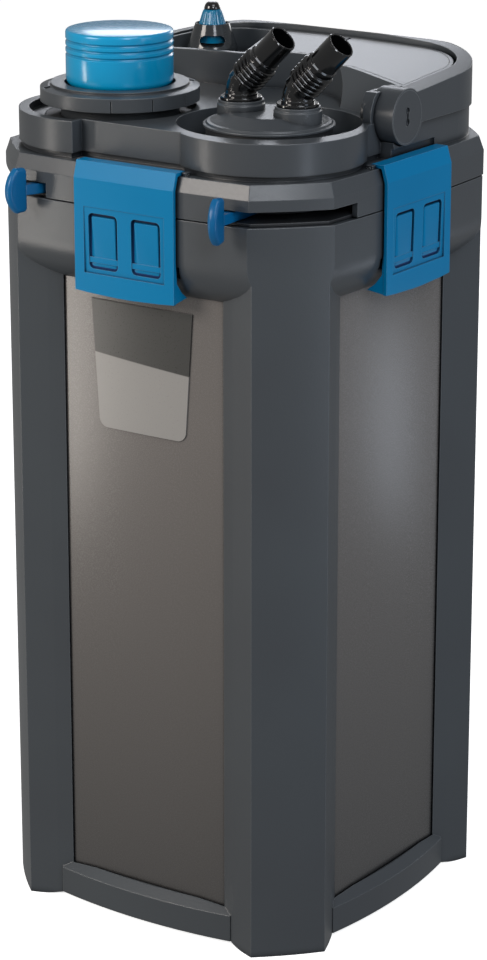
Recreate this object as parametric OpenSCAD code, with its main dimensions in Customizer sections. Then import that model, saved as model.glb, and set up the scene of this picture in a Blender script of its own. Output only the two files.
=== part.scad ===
// Canister filter for an aquarium: a square upright canister with four corner
// pillars, and a head that holds the pump, the prefilter with its priming
// plunger, the hose unit, the heater and the carrying handle.
// Origin: middle of the underside. The front face looks along -Y. Millimetres.

/* [Canister] */
// Reach of the head ring from the axis to the middle of a side
ring_reach = 122.8; // [121:0.2:126]
// Distance from the axis to a cut corner of the ring
ring_corner = 145.6; // [145.2:0.2:150]
// Radius to which the sides of ring and collar bow
side_bow = 1150; // [900:10:1600]
// Radius to which the cut corners bow
corner_bow = 260; // [180:10:500]
// Height of the seam between canister and head
seam_z = 457.5; // [440:0.5:490]
// Width of the open line at the seam
seam_gap = 0.8; // [0.4:0.1:1.2]
// Distance from the ring's face back to the middle of a panel
tub_set_back = 14.1; // [12:0.1:16]
// Radius to which the panels bow
panel_bow = 803; // [500:10:2000]
// Distance from the axis to a cut corner of the tub
tub_corner = 134; // [130:0.5:137]
// Wall thickness of the tub
tub_wall = 3; // [2:0.25:4]
// Thickness of the tub floor
tub_floor = 4; // [3:0.5:6]
// Radius of the curve under the collar
collar_curve = 28; // [24:1:32]
// Height of the straight band of the collar
collar_band = 25; // [22:1:30]

/* [Pillars and base] */
// Distance from the axis to a pillar's face
pillar_face = 145; // [143:0.5:145.5]
// Half width of a pillar's face
pillar_half = 22.6; // [20:0.2:25]
// Distance from the axis to the pillar's side edges
pillar_side = 127; // [122:0.5:130]
// Half width of the pillar at its side edges
pillar_side_half = 31; // [28:0.5:34]
// Half width of the panel opening
panel_half = 59.4; // [56:0.2:62]
// Rounding of the pillar's lower edge
foot_round = 9; // [4:0.5:12]
// Reach of a base rail at its middle
rail_reach = 117; // [114:0.5:120]
// Radius to which a base rail bows
rail_bow = 365; // [300:5:600]
// Height of the base rails above the feet
rail_z = 2.5; // [1:0.5:5]
// Height of a base rail
rail_h = 22.5; // [18:0.5:30]
// Chamfer along the top of the base rails
rail_chamfer = 5.5; // [3:0.5:7]
// Half length of a base rail
rail_half = 65; // [60:0.5:66]
// Thickness of the plate under the tub
web_t = 3; // [2:0.5:5]
// Radius of a foot pad
pad_r = 11; // [8:0.5:13]
// Thickness of a foot pad
pad_t = 2; // [1:0.25:3]

/* [Head] */
// Height of the ring band above the seam
ring_h = 24.4; // [21:0.2:28]
// Height of the slope along the top of the ring
ring_slope_h = 8.6; // [5:0.2:10]
// Depth of the slope along the top of the ring
ring_slope = 3; // [1:0.5:5]
// Height of the deck above the ring
deck_h = 22.2; // [18:0.2:28]
// Wall thickness of the head
head_wall = 3; // [2:0.25:4]
// Height of the rear block above the deck, at its rear
crown_h = 26.5; // [24:0.5:30]
// Radius of the crown of the rear block
crown_r = 1500; // [1000:10:2000]
// Slope of the rear block towards the front
crown_slope = 4.2; // [3:0.1:6]
// Distance from the axis to the sides of the upper head
head_half = 104; // [102:0.2:105]
// Reach of the rear wall of the upper head
head_rear = 100; // [96:0.5:101]
// Radius of the rear corners of the upper head
head_round = 38; // [30:1:45]
// Reach of the flat front wall between the towers
front_wall = 104; // [102:0.5:108]
// Reach of the shoulder that runs under the handle
shoulder = 113.2; // [111:0.2:113.4]
// Radius of the rear corners of the shoulder
shoulder_round = 50; // [44:1:55]
// Height of the curb on which the covers lie below the crown
cover_t = 3; // [2:0.25:4]
// Width of the rim round the covers
rim_w = 2.4; // [1.5:0.1:2.8]

/* [Prefilter] */
// Distance of the prefilter's axis to the left
prefilter_x = 53.4; // [52:0.1:56]
// Distance of the prefilter's axis in front of the middle
prefilter_y = 55.7; // [54:0.1:58]
// Radius of the opening for the prefilter
prefilter_r = 45.6; // [44.4:0.1:46]
// Radius of the towers
tower_r = 57; // [56:0.5:59]
// Distance of the towers' axes from the centre planes
tower_x = 57.5; // [56.5:0.5:58]
// Radius of the well round the cap
well_r = 50.6; // [49.4:0.1:53]
// Radius of the prefilter cap's skirt
cap_r = 48.3; // [45:0.1:48.6]
// Radius of the priming plunger
plunger_r = 32.6; // [29:0.2:34]
// Height of the plunger above the cap
plunger_h = 31.8; // [28:0.2:36]
// Stroke of the plunger
plunger_stroke = 24; // [16:1:24]
// Radius of the plunger's skirt
plunger_skirt_r = 28; // [24:0.5:28]
// Running clearance of the plunger's skirt
run = 0.06; // [0.02:0.01:0.1]
// Length of the filter column below the head
column_l = 370; // [300:5:400]
// Radius of the column's foam rings
foam_r = 36; // [30:0.5:38]
// Radius of the column's inner pipe
pipe_r = 14; // [10:0.5:16]

/* [Hose unit] */
// Distance of the hose unit's axis from the middle
hose_x = 56.2; // [53:0.1:57]
// Distance of the hose unit's axis in front of the middle
hose_y = 56.8; // [56:0.1:59]
// Half the distance between the two ports
port_half = 20; // [17:0.5:21]
// Radius of the domed plate
dome_r = 39; // [37.6:0.2:40]
// Radius of a port collar
collar_r = 14.2; // [12.5:0.1:15]
// Outer radius of the hose spigot
spigot_r = 8.6; // [8:0.05:9.5]
// Bore radius of the hose spigot
spigot_bore = 7.4; // [6.5:0.1:7.6]
// Distance from the bend to the spigot's mouth
spigot_l = 42.1; // [38:0.5:48]
// Slope of the spigot above the level
spigot_tilt = 45; // [30:1:60]

/* [Handle] */
// Height of the handle's pivot above the seam
pivot_h = 49; // [47:0.5:51]
// Radius of the handle's hub
hub_r = 17; // [15:0.5:17]
// Gap between the head's side and the handle's arm
handle_gap = 0.6; // [0.4:0.1:1]
// Thickness of the handle's arm
handle_t = 11.8; // [8:0.2:12]
// Reach of the handle's bar behind the middle
handle_rear = 113.5; // [111.5:0.5:117]
// Fall of the handle's top from its inner to its outer edge
handle_fall = 3.6; // [0.5:0.1:5]
// Radius to which the handle's bar bows upwards
handle_crown_r = 850; // [600:10:1500]
// Radius of the handle's outer corners
handle_round = 54; // [50:1:60]
// Radius of the handle's pivot pins
pin_r = 5; // [4:0.25:6]

/* [Clips and levers] */
// Half width of a clip
clip_half = 36; // [32:0.5:37]
// Distance of a clip's outer face from the ring
clip_proud = 2.9; // [2.6:0.1:3.4]
// Length of a clip below its pivot
clip_l = 77; // [74:0.5:79]
// Radius of a clip's pin
clip_pin_r = 1.25; // [1:0.05:1.5]
// Half the gap between the finger windows
window_gap = 5; // [4:0.5:8]
// Width of a finger window
window_w = 21; // [18:0.5:22]
// Height of a finger window
window_h = 33.5; // [28:0.5:36]
// Radius at which a lever's grip begins
grip_in = 73.5; // [72.5:0.5:76]
// Length of a lever's grip
grip_l = 14; // [10:0.5:16]
// Height of a lever's grip
grip_h = 28; // [22:0.5:32]

/* [Heater] */
// Distance of the heater's axis to the left
heater_x = 74; // [72:0.1:77]
// Distance of the heater's axis behind the middle
heater_y = 71; // [68:0.5:73]
// Radius of the heating rod
rod_r = 9.5; // [8:0.25:11]
// Length of the heating rod
rod_l = 280; // [200:5:320]
// Radius of the dial at its skirt
dial_r = 9.3; // [8.5:0.1:9.6]

/* [Pump and media] */
// Distance of the motor's axis to the right
motor_x = 58; // [56:0.5:60]
// Distance of the motor's axis behind the middle
motor_y = 66; // [64:0.5:67]
// Radius of the motor housing
motor_r = 27; // [24:0.5:28]
// Radius of the rotor
rotor_r = 11.5; // [9:0.25:12]
// Radius of the rotor's shaft
shaft_r = 2; // [1.5:0.1:2.5]
// Radius of the impeller
impeller_r = 19; // [15:0.5:20]
// Number of blades on the impeller
blades = 6; // [4:1:8]
// Number of media trays
trays = 4; // [4:1:4]
// Height of a media tray
tray_h = 104; // [90:1:105]
// Gap between a media tray and the panel of the tub
tray_gap = 10.7; // [8:0.1:14]
// Wall thickness of a tray
tray_wall = 2; // [1.5:0.25:3]

/* [Hidden] */
$fn = 96;
bow_fn = 720;
eps = 0.01;
fit = 0.3;          // gap beside pieces that only stand next to each other
root2 = sqrt(2);

// Colours
body_grey = "#55585b";
panel_grey = "#6f6b67";
clip_blue = "#0080b2";
plunger_blue = "#0b8fc4";
gloss_black = "#101113";
cover_grey = "#b4b6ba";
rubber_black = "#1b1b1c";
steel = "#b9bcc0";
foam_blue = "#3f6f9b";

// Reaches
tub_reach = ring_reach - tub_set_back;
tray_half = tub_reach - tray_gap;
handle_half = head_half + handle_gap + handle_t;

// Heights
collar_top = seam_z - seam_gap/2;
ring_z = seam_z + seam_gap/2;
ring_top = ring_z - seam_gap/2 + ring_h;
deck_z = ring_top + deck_h;
crown_z = deck_z + crown_h;
curve_z = seam_z - collar_band;
collar_bottom = curve_z - collar_curve;
pivot_z = seam_z + pivot_h;
cap_top = deck_z + 15;
ledge_gap = 3.2;
shoulder_z = pivot_z - 6.2;
tub_bottom = web_t;
floor_z = tub_bottom + tub_floor;
ring_wall = head_wall + 1;

// Seal, base plate and tub rim
rim_z = seam_z - 3.8;
rim_t = 3.2;
rim_out = 4;
seal_w = 4;
base_bottom = seam_z - 0.2;
base_t = 1.8;
base_top = base_bottom + base_t;
spigot_depth = 12;

// Clip pivot
clip_u = ring_reach - 8;
clip_face = ring_reach + clip_proud;
clip_z = ring_top - 0.1;
barrel_r = 2.5;
clip_in = ring_reach + 0.5;
ear_t = 3;
relief_u = clip_u - 3.3;
hook_z = clip_z - 54.3;

// Prefilter heights
cap_bottom = deck_z + 4.1;
cap_edge = deck_z + 12.4;
cap_ring_r = 42;
guide_bottom = seam_z + 6;
guide_top = seam_z + 30;
skirt_bottom = guide_bottom + 12;
plunger_top = cap_top + plunger_h;
bore_r = plunger_r + 1;
well_z = deck_z - 4.6;
plate_z = seam_z - 10;
plate_t = 3;
head_top = well_z;
column_top = plate_z;
column_bottom = column_top - column_l;

// Lever ring
lever_z = base_top + 0.4;
lever_t = 6.4;
ring_width = 4.4;
slot_in = prefilter_r + ring_width + 2*fit;
lever_front = -78;
lever_front_arm = -68.8;
lever_side = -104.3;
lever_side_arm = -100;
slot_h = 8.8;

// Pit round the hose unit
pit_z = deck_z - 15.6;
pit_centre = [50, -47.5];
pit_r = 55;
scallop_centre = [11, -3.4];
scallop_r = 52;
block_front = 35;
cheek_front = 28;
cheek_x = 46;
cheek_turn = -18;
cheek_lean = 40;

// Heater
heater_floor = deck_z + 10.4;
housing_h = 21;
window_z = heater_floor + 11;
dial_z = heater_floor + 9;
dial_top = heater_floor + 29.7;

// Hose unit heights
dome_z = deck_z + 0.4;
dome_top = deck_z + 8;
collar_z = deck_z + 13.7;
flange_t = 2;
bend_z = collar_z + 8.7;
block_r = dome_r - 3.9;

// Motor
motor_z = seam_z + 14;
motor_top = deck_z + 14;

tray_z = floor_z + 13;

// ---------------------------------------------------------------- shared shapes
// One disc of very large radius, whose rim is the bowed side nearest -Y.
// Its top edge slopes inwards by slope over the height slope_h.
module side_disc(reach, bow, z0, z1, slope = 0, slope_h = 0)
    translate([0, bow - reach, 0])
        rotate_extrude($fn = bow_fn)
            polygon([[0, z0], [bow, z0], [bow, z1 - slope_h], [bow - slope, z1], [0, z1]]);

// A square block with bowed sides and bowed cut corners.
module bowed_block(reach, corner, z0, z1, slope = 0, slope_h = 0)
    intersection() {
        for_all_sides() side_disc(reach, side_bow, z0, z1, slope, slope_h);
        for_all_corners() side_disc(corner, corner_bow, z0, z1, slope, slope_h);
    }

// The bowed block with a slope round its top, in two layers joined inside.
module sloped_block(reach, corner, z0, z1, slope, slope_h) {
    z = z1 - slope_h;
    bowed_block(reach, corner, z0, z);
    bowed_block(reach, corner, z, z1, slope, slope_h);
    bowed_block(reach - 1, corner - 1, z - 2, z + 2);
}

module for_all_sides()
    intersection() {
        children();
        rotate(90) children();
        rotate(180) children();
        rotate(270) children();
    }

module for_all_corners()
    intersection() {
        rotate(45) children();
        rotate(135) children();
        rotate(225) children();
        rotate(315) children();
    }

module bow_2d(reach, bow)
    translate([0, bow - reach]) circle(r = bow, $fn = bow_fn);

// Plan of the tub, grown outwards by g
module tub_outline(g = 0)
    intersection() {
        bow_2d(tub_reach + g, panel_bow);
        rotate(90) bow_2d(tub_reach + g, panel_bow);
        rotate(180) bow_2d(tub_reach + g, panel_bow);
        rotate(270) bow_2d(tub_reach + g, panel_bow);
        rotate(45) square(2*(tub_corner + g), center = true);
    }

module slab(z0, z1) translate([0, 0, z0]) linear_extrude(z1 - z0) children();

module rod_z(x, y, r, z0, z1) translate([x, y, z0]) cylinder(r = r, h = z1 - z0);

module tube_z(x, y, r_out, r_in, z0, z1)
    translate([x, y, z0]) difference() {
        cylinder(r = r_out, h = z1 - z0);
        translate([0, 0, -1]) cylinder(r = r_in, h = z1 - z0 + 2);
    }

// A cylinder along X from x0 to x1
module rod_x(x0, x1, y, z, r)
    translate([x0, y, z]) rotate([0, 90, 0]) cylinder(r = r, h = x1 - x0);

// Everything below a crown whose ridge rises towards the rear and reaches
// the height top at the rear wall
module under_crown(top, r)
    translate([0, head_rear, top]) rotate([crown_slope, 0, 0]) translate([0, 200, -r])
        rotate([90, 0, 0]) cylinder(r = r, h = 500, $fn = bow_fn);

// ---------------------------------------------------------------- canister
// Pillar at the front right corner, before its face is trimmed
module pillar() {
    f = pillar_face;
    s = pillar_side;
    u = (tub_reach + panel_half)/root2 - 1.2;
    v = (tub_reach - panel_half)/root2;
    rotate(-45) intersection() {
        slab(0, curve_z)
            polygon([[f + 6, -pillar_half], [f + 6, pillar_half], [f, pillar_half],
                     [s, pillar_side_half], [u, v], [tub_corner/2 + 40, 0], [u, -v],
                     [s, -pillar_side_half], [f, -pillar_half]]);
        rotate([90, 0, 90]) linear_extrude(f + 10) foot_outline(v);
    }
}

// Outline of a pillar seen from its face, with rounded lower corners
module foot_outline(half)
    union() {
        translate([-half, foot_round]) square([2*half, seam_z]);
        translate([-half + foot_round, 0]) square([2*(half - foot_round), seam_z]);
        for (s = [-1, 1])
            translate([s*(half - foot_round), foot_round]) circle(r = foot_round);
    }

module rail()
    difference() {
        intersection() {
            translate([0, rail_bow - rail_reach, rail_z])
                rotate_extrude($fn = bow_fn)
                    polygon([[0, 0], [rail_bow, 0], [rail_bow, rail_h - rail_chamfer],
                             [rail_bow - rail_chamfer, rail_h], [0, rail_h]]);
            translate([-rail_half, -rail_reach - 1, 0])
                cube([2*rail_half, 20, rail_z + rail_h + 2]);
        }
        slab(rail_z + 11, rail_z + rail_h + 1) tub_outline(1.6);
    }

// Side of the upper band of the canister, curved in below
module collar_disc()
    translate([0, side_bow - ring_reach, 0])
        rotate_extrude($fn = bow_fn) {
            translate([0, collar_bottom])
                square([side_bow - collar_curve, collar_top - collar_bottom]);
            translate([0, curve_z]) square([side_bow, collar_top - curve_z]);
            intersection() {
                translate([side_bow - collar_curve, curve_z])
                    circle(r = collar_curve, $fn = 128);
                translate([0, collar_bottom]) square([side_bow, collar_top - collar_bottom]);
            }
        }

// Pockets under which the clip hooks catch
module catch_pockets()
    for (a = [0:90:270]) rotate(a)
        translate([-clip_half - 1, -ring_reach - 5, hook_z - 6])
            cube([2*clip_half + 2, 9.2, 7.2]);

module outer_frame() color(body_grey)
    difference() {
        intersection() {
            union() {
                for_all_sides() collar_disc();
                for (a = [0:90:270]) rotate(a) {
                    pillar();
                    rail();
                }
                slab(0, web_t) tub_outline();
            }
            for_all_corners()
                side_disc(pillar_face, corner_bow, 0, collar_top);
        }
        slab(web_t, rim_z - rim_t) tub_outline();
        slab(rim_z - rim_t, seam_z + 1) tub_outline(rim_out);
        catch_pockets();
        for (a = [0:90:270]) rotate(a - 45)
            translate([pad_centre, 0, -1]) cylinder(r = pad_r + 0.2, h = pad_t + 1);
    }

pad_centre = pillar_face - pad_r - 8;

module foot_pads() color(rubber_black)
    for (a = [0:90:270]) rotate(a - 45)
        translate([pad_centre, 0, 0]) cylinder(r = pad_r, h = pad_t);

module container() color(panel_grey)
    union() {
        difference() {
            union() {
                slab(tub_bottom, rim_z) tub_outline();
                slab(rim_z - rim_t, rim_z) tub_outline(rim_out);
            }
            slab(floor_z, rim_z + 1) tub_outline(-tub_wall);
        }
        // posts that carry the lowest tray
        for (p = post_places) rod_z(p[0], p[1], 6, floor_z - 1, tray_z);
    }

post_places = [[70, 70], [70, -70], [0, 70], [0, -70], [-70, 20]];

module container_seal() color(rubber_black)
    slab(rim_z, base_bottom) difference() {
        tub_outline(rim_out - 0.5);
        tub_outline(rim_out - 0.5 - seal_w);
    }

// A bare plate on the front panel, in the place of a badge
badge_z = 318.5;
badge_h = 79;
badge_t = 0.8;
module badge_plate() color("#8d8f92")
    intersection() {
        slab(badge_z, badge_z + badge_h) difference() {
            bow_2d(tub_reach + badge_t, panel_bow + badge_t);
            bow_2d(tub_reach, panel_bow);
        }
        translate([0, -tub_reach + 10, 0]) rotate([90, 0, 0]) linear_extrude(20)
            union() {
                polygon([[-37, badge_z + badge_h + 1], [-32, badge_z + 6], [-26, badge_z],
                         [26, badge_z], [32, badge_z + 6], [37, badge_z + badge_h + 1]]);
                for (s = [-1, 1]) translate([s*26, badge_z + 6]) circle(r = 6);
            }
    }

// ---------------------------------------------------------------- head
// Plan of the upper head, drawn in by g
module head_plan(g = 0)
    difference() {
        union() {
            for (s = [-1, 1]) translate([s*tower_x, -tower_x]) circle(r = tower_r - g);
            translate([-46, -front_wall + g]) square([76, front_wall]);
            translate([-head_half + g, -tower_x])
                square([2*(head_half - g), tower_x + head_rear - head_round]);
            translate([-head_half + head_round, -tower_x])
                square([2*(head_half - head_round), tower_x + head_rear - g]);
            for (s = [-1, 1])
                translate([s*(head_half - head_round), head_rear - head_round])
                    circle(r = head_round - g);
        }
        // flat wall between the towers
        translate([-46 - g, -150]) square([73 + 2*g, 150 - front_wall + g]);
    }

// Plan of the shoulder under the handle, drawn in by g
module shoulder_plan(g = 0) {
    r = shoulder_round;
    translate([-shoulder + g, -10 + g]) square([2*(shoulder - g), 10 - g + shoulder - r]);
    translate([-shoulder + r, -10 + g]) square([2*(shoulder - r), 10 - g + shoulder - g]);
    for (s = [-1, 1]) translate([s*(shoulder - r), shoulder - r]) circle(r = r - g);
}

// Plan of the raised rear block, drawn in by g
module block_plan(g = 0)
    difference() {
        intersection() {
            head_plan(g);
            translate([-150, block_front + g]) square([300, 150]);
        }
        translate(scallop_centre) circle(r = scallop_r + g);
    }

// The raised rear block, drawn in by g, with leaning cheek on the right
module block_solid(z0, z1, g = 0) {
    slab(z0, z1) block_plan(g);
    intersection() {
        slab(z0, z1) difference() {
            intersection() {
                head_plan(g);
                translate([cheek_x, -20]) square([100, 90]);
            }
            translate(scallop_centre) circle(r = scallop_r + g);
        }
        translate([cheek_x + 20, cheek_front, crown_z - 8]) rotate(cheek_turn)
            rotate([-cheek_lean, 0, 0]) translate([-100, g, -100]) cube([200, 150, 200]);
    }
}

module pit_plan(g = 0) translate(pit_centre) circle(r = pit_r + g);

// Plan of the well round the prefilter's cap, grown by g
module well_plan(g = 0)
    intersection() {
        translate([-tower_x, -tower_x]) circle(r = well_r + g);
        union() {
            translate([-150, -150]) square([150 - 46 - head_wall + g, 200]);
            translate([-150, -front_wall + head_wall - g]) square([200, 200]);
        }
    }

// Plan of the recess in which the heater stands, grown by g
module heater_recess(g = 0)
    intersection() {
        block_plan(head_wall - g);
        polygon([[-200, -50], [-26 + g, -50], [-26 + g, 36], [-45 + g, 97], [-45 + g, 150],
                 [-200, 150]]);
    }

module head_outside() {
    sloped_block(ring_reach, ring_corner, ring_z, ring_top, ring_slope, ring_slope_h);
    slab(ring_top - 1, ring_top + ledge_gap + 1) head_plan(2);
    slab(ring_top + ledge_gap, deck_z) head_plan();
    slab(ring_top - 1, shoulder_z) shoulder_plan();
    difference() {
        intersection() {
            block_solid(deck_z - 1, crown_z + 1);
            under_crown(crown_z, crown_r);
        }
        cover_pocket(0);
    }
}

// Space of the covers on the rear block, inside its rim, drawn in by g
module cover_pocket(g)
    difference() {
        block_solid(deck_z, crown_z + 5, rim_w + g);
        slab(deck_z - 1, crown_z + 6) heater_recess(head_wall + g);
        under_crown(crown_z - cover_t, crown_r - cover_t);
    }

module head_inside() {
    bowed_block(ring_reach - ring_wall, ring_corner - ring_wall, ring_z - 1, ring_top - ring_wall);
    slab(ring_top - ring_wall - eps, deck_z - head_wall) head_plan(head_wall + 2);
    slab(ring_top - ring_wall - eps, shoulder_z - head_wall) shoulder_plan(head_wall);
    intersection() {
        block_solid(deck_z - head_wall - eps, crown_z, head_wall);
        under_crown(crown_z - cover_t - head_wall, crown_r - cover_t - head_wall);
    }
}

// Pivot places of the handle: recess outside and boss inside
module hub_recess(g = 0)
    for (s = [0, 1]) mirror([s, 0, 0])
        rod_x(hub_in - 0.5 - g, 130, 0, pivot_z, hub_r + 0.6 + g);
module hub_boss()
    for (s = [0, 1]) mirror([s, 0, 0])
        rod_x(pin_in, hub_in - 0.5, 0, pivot_z, pin_r + 4);

hub_in = handle_half - 17.2;
pin_in = hub_in - 11;

// Cup round the hub, closing the recess towards the inside
module hub_cup()
    for (s = [0, 1]) mirror([s, 0, 0]) intersection() {
        rod_x(hub_in - 3.5, head_half - 0.5, 0, pivot_z, hub_r + 3.6);
        slab(ring_top, crown_z - 9) head_plan();
    }

module clip_seats()
    for (a = [0:90:270]) rotate(a) {
        rod_x(-clip_half - 0.4, clip_half + 0.4, -clip_u, clip_z, barrel_r + 0.4);
        translate([-clip_half - 0.4, -clip_u - 12, clip_z + 0.4])
            cube([2*clip_half + 0.8, 12 + clip_u - relief_u, 6]);
    }

module clip_ears()
    for (a = [0:90:270], s = [-1, 1]) rotate(a)
        translate([s*(clip_half + 0.4 + ear_t/2) - ear_t/2, -clip_u - 2.4, ring_top - 3])
            cube([ear_t, 4.8, 5]);

module lever_slots() {
    lever_slot(hose_x, hose_y, -81, 77);
    lever_slot(-prefilter_x, prefilter_y, -175, 79);
}

module lever_slot(x, y, a0, angle)
    translate([x, -y, 0]) rotate(a0)
        rotate_extrude(angle = angle)
            translate([slot_in, ring_z - 1]) square([50, slot_h + 1]);

gland_z = ring_top + 9;
gland_x = 58;
gland_r = 5;

// Places of the screws that hold the base plate, in bosses under deck and covers
screw_places = [[-2, -92], [-92, 20], [-14, 62], [92, -2], [90, 82], [-35, 90]];
function boss_top(p) = p[1] < block_front ? deck_z - 1 : crown_z;

module head_housing() color(body_grey)
    difference() {
        union() {
            difference() {
                union() {
                    head_outside();
                    clip_ears();
                }
                head_inside();
            }
            // pit wall and floor
            slab(pit_z - head_wall, deck_z) intersection() {
                pit_plan(head_wall);
                head_plan(2);
            }
            // wall of the prefilter opening, and the floor of its well
            intersection() {
                tube_z(-prefilter_x, -prefilter_y, prefilter_r + head_wall, prefilter_r,
                       ring_top - ring_wall, well_z);
                slab(ring_top - ring_wall, well_z) head_plan(2.2);
            }
            slab(well_z - head_wall, deck_z) intersection() {
                well_plan(head_wall);
                head_plan(2);
            }
            // floor of the heater's recess
            intersection() {
                slab(heater_floor - head_wall, heater_floor + 30) heater_recess(head_wall);
                under_crown(crown_z, crown_r);
            }
            hub_boss();
            hub_cup();
            intersection() {
                for (p = screw_places) rod_z(p[0], p[1], 5, base_top, boss_top(p));
                under_crown(crown_z - cover_t - 1, crown_r);
            }
        }
        slab(pit_z, deck_z + 60) pit_plan();
        rod_z(hose_x, -hose_y, block_r + fit, pit_z - 10, pit_z + 1);
        rod_z(-prefilter_x, -prefilter_y, prefilter_r, ring_z, deck_z + 1);
        slab(well_z, deck_z + 1) well_plan();
        slab(heater_floor, crown_z + 1) heater_recess();
        rod_z(-heater_x, heater_y, rod_r + 2.6, heater_floor - 10, heater_floor + 1);
        hub_recess();
        for (s = [0, 1]) mirror([s, 0, 0]) rod_x(pin_in - 1, 130, 0, pivot_z, pin_r);
        clip_seats();
        for (a = [0:90:270]) rotate(a)
            rod_x(-clip_half - 4, clip_half + 4, -clip_u, clip_z, clip_pin_r);
        lever_slots();
        for (x = [-gland_x, gland_x])
            translate([x, shoulder - 10, gland_z]) rotate([-90, 0, 0])
                cylinder(r = gland_r, h = 20);
        for (p = screw_places) rod_z(p[0], p[1], 1.6, base_top - 1, base_top + 12);
    }

module head_base() color("#3c3f41")
    difference() {
        union() {
            bowed_block(ring_reach - ring_wall - 0.2, ring_corner - ring_wall - 0.2,
                        base_bottom, base_top);
            slab(base_bottom - spigot_depth, base_bottom + eps) difference() {
                tub_outline(-tub_wall - 0.6);
                tub_outline(-tub_wall - 3.2);
            }
        }
        rod_z(-prefilter_x, -prefilter_y, prefilter_r, base_bottom - 30, base_top + 1);
        rod_z(hose_x, -hose_y, block_r + fit, base_bottom - 1, base_top + 1);
        rod_z(-heater_x, heater_y, rod_r + 0.4, base_bottom - 1, base_top + 1);
        rod_z(motor_x, motor_y, 9, base_bottom - 1, base_top + 1);
        for (p = screw_places) rod_z(p[0], p[1], 1.9, base_bottom - 1, base_top + 1);
    }

module base_screws() color(steel)
    for (p = screw_places) {
        rod_z(p[0], p[1], 3.2, base_bottom - 2.2, base_bottom);
        rod_z(p[0], p[1], 1.6, base_bottom - 1, base_top + 11);
    }

// The crowned covers on the rear block, parted by a groove
groove_x = 14;
groove_w = 2.4;
module cover_plate()
    intersection() {
        difference() {
            cover_pocket(0.2);
            hub_recess(rim_w);
        }
        under_crown(crown_z, crown_r);
    }

module cover_left() color(cover_grey)
    difference() {
        cover_plate();
        translate([groove_x - groove_w/2, -150, 0]) cube([300, 300, 700]);
    }

module cover_right() color(cover_grey)
    difference() {
        cover_plate();
        translate([groove_x + groove_w/2 - 300, -150, 0]) cube([300, 300, 700]);
    }

// ---------------------------------------------------------------- clips
window_z0 = hook_z - 7;
clip_slope_z = ring_top - ring_slope_h + 0.8;
module clip_shape(turn) color(clip_blue) rotate(turn)
    difference() {
        union() {
            // folded plate from the barrel over the slope and down the side
            intersection() {
                along_x(clip_half) polygon([
                    [clip_u, clip_z + barrel_r], [clip_face - ring_slope, clip_z + barrel_r],
                    [clip_face, clip_slope_z], [clip_face, clip_z - clip_l],
                    [clip_in + 0.6, clip_z - clip_l], [clip_in + 0.6, curve_z - 8],
                    [clip_in, curve_z], [clip_in, clip_slope_z - 0.6],
                    [clip_in - ring_slope, ring_top + 0.5], [clip_u, ring_top + 0.5]]);
                clip_bottom_edge();
            }
            rod_x(-clip_half, clip_half, -clip_u, clip_z, barrel_r);
            // hook
            translate([-clip_half + 4, -clip_in - 1, hook_z - 3.4])
                cube([2*clip_half - 8, 4.3, 3.4]);
            // side flanges that follow the curve of the collar
            for (s = [-1, 1]) translate([s*(clip_half - 1), 0, 0]) along_x(1)
                polygon([[clip_face - 1, curve_z], [clip_face - 1, clip_z - clip_l + 3.4],
                         [tub_reach + 4, clip_z - clip_l + 3.4], [tub_reach + 2.6, curve_z - 24.6],
                         [tub_reach + 8.6, curve_z - 20], [tub_reach + 13.4, curve_z - 14],
                         [clip_in - 0.9, curve_z - 8], [clip_in, curve_z]]);
        }
        rod_x(-clip_half - 1, clip_half + 1, -clip_u, clip_z, clip_pin_r + run);
        // shallow field and two windows
        translate([-29, -clip_face - 1, window_z0 - 4]) cube([58, 1.5, window_h + 7.5]);
        for (s = [-1, 1])
            translate([s*(window_gap + window_w/2) - window_w/2, 0, 0]) window_cut();
    }

// extrudes a (reach, height) outline along X, w to each side
module along_x(w)
    rotate([90, 0, -90]) translate([0, 0, -w]) linear_extrude(2*w) children();

// lower edge, bowed slightly downwards
module clip_bottom_edge()
    translate([0, -clip_face - 20, clip_z - clip_l + 400]) rotate([-90, 0, 0])
        cylinder(r = 400, h = 60, $fn = 720);

// a window whose floor slopes inwards towards its lower edge
module window_cut()
    translate([window_w/2, 0, 0]) along_x(window_w/2)
        polygon([[clip_face + 1, window_z0], [clip_face + 1, window_z0 + window_h],
                 [clip_face - 1.2, window_z0 + window_h], [clip_in + 0.8, curve_z],
                 [clip_in - 0.2, window_z0]]);

module clip_front() clip_shape(0);
module clip_right() clip_shape(90);
module clip_back() clip_shape(180);
module clip_left() clip_shape(270);

module clip_pins() color(steel)
    for (a = [0:90:270]) rotate(a)
        rod_x(-clip_half - 0.4 - ear_t, clip_half + 0.4 + ear_t, -clip_u, clip_z, clip_pin_r);

// ---------------------------------------------------------------- handle
handle_inner = handle_half - handle_t;
bar_inner = head_rear + 3.3;
arm_bottom = pivot_z - 5.5;
bar_crown = crown_z + 3.8;

// Plan of the handle, x wide and y deep from below y0, with rounded rear corners
module handle_outline(x, y, r, y0 = 0) {
    translate([-x, y0]) square([2*x, y - r - y0]);
    translate([-(x - r), y0]) square([2*(x - r), y - y0]);
    for (s = [-1, 1]) translate([s*(x - r), y - r]) circle(r = r);
}

// Everything below a top that is flat inside and falls outwards over the bar
module under_fall() {
    r = handle_round + 1;
    x = handle_half - r;
    y = handle_rear - r;
    translate([0, head_rear, bar_crown]) rotate([crown_slope, 0, 0])
        translate([0, -head_rear, 0]) {
            for (s = [-1, 1]) translate([s*x, y, 0]) rotate_extrude() fall_profile(r);
            for (s = [0, 1]) mirror([s, 0, 0])
                translate([0, y, 0]) rotate([90, 0, 0]) linear_extrude(200)
                    fall_profile(handle_half);
            translate([x, 0, 0]) rotate([90, 0, -90]) mirror([1, 0, 0])
                linear_extrude(2*x) fall_profile(handle_rear);
        }
}

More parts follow.
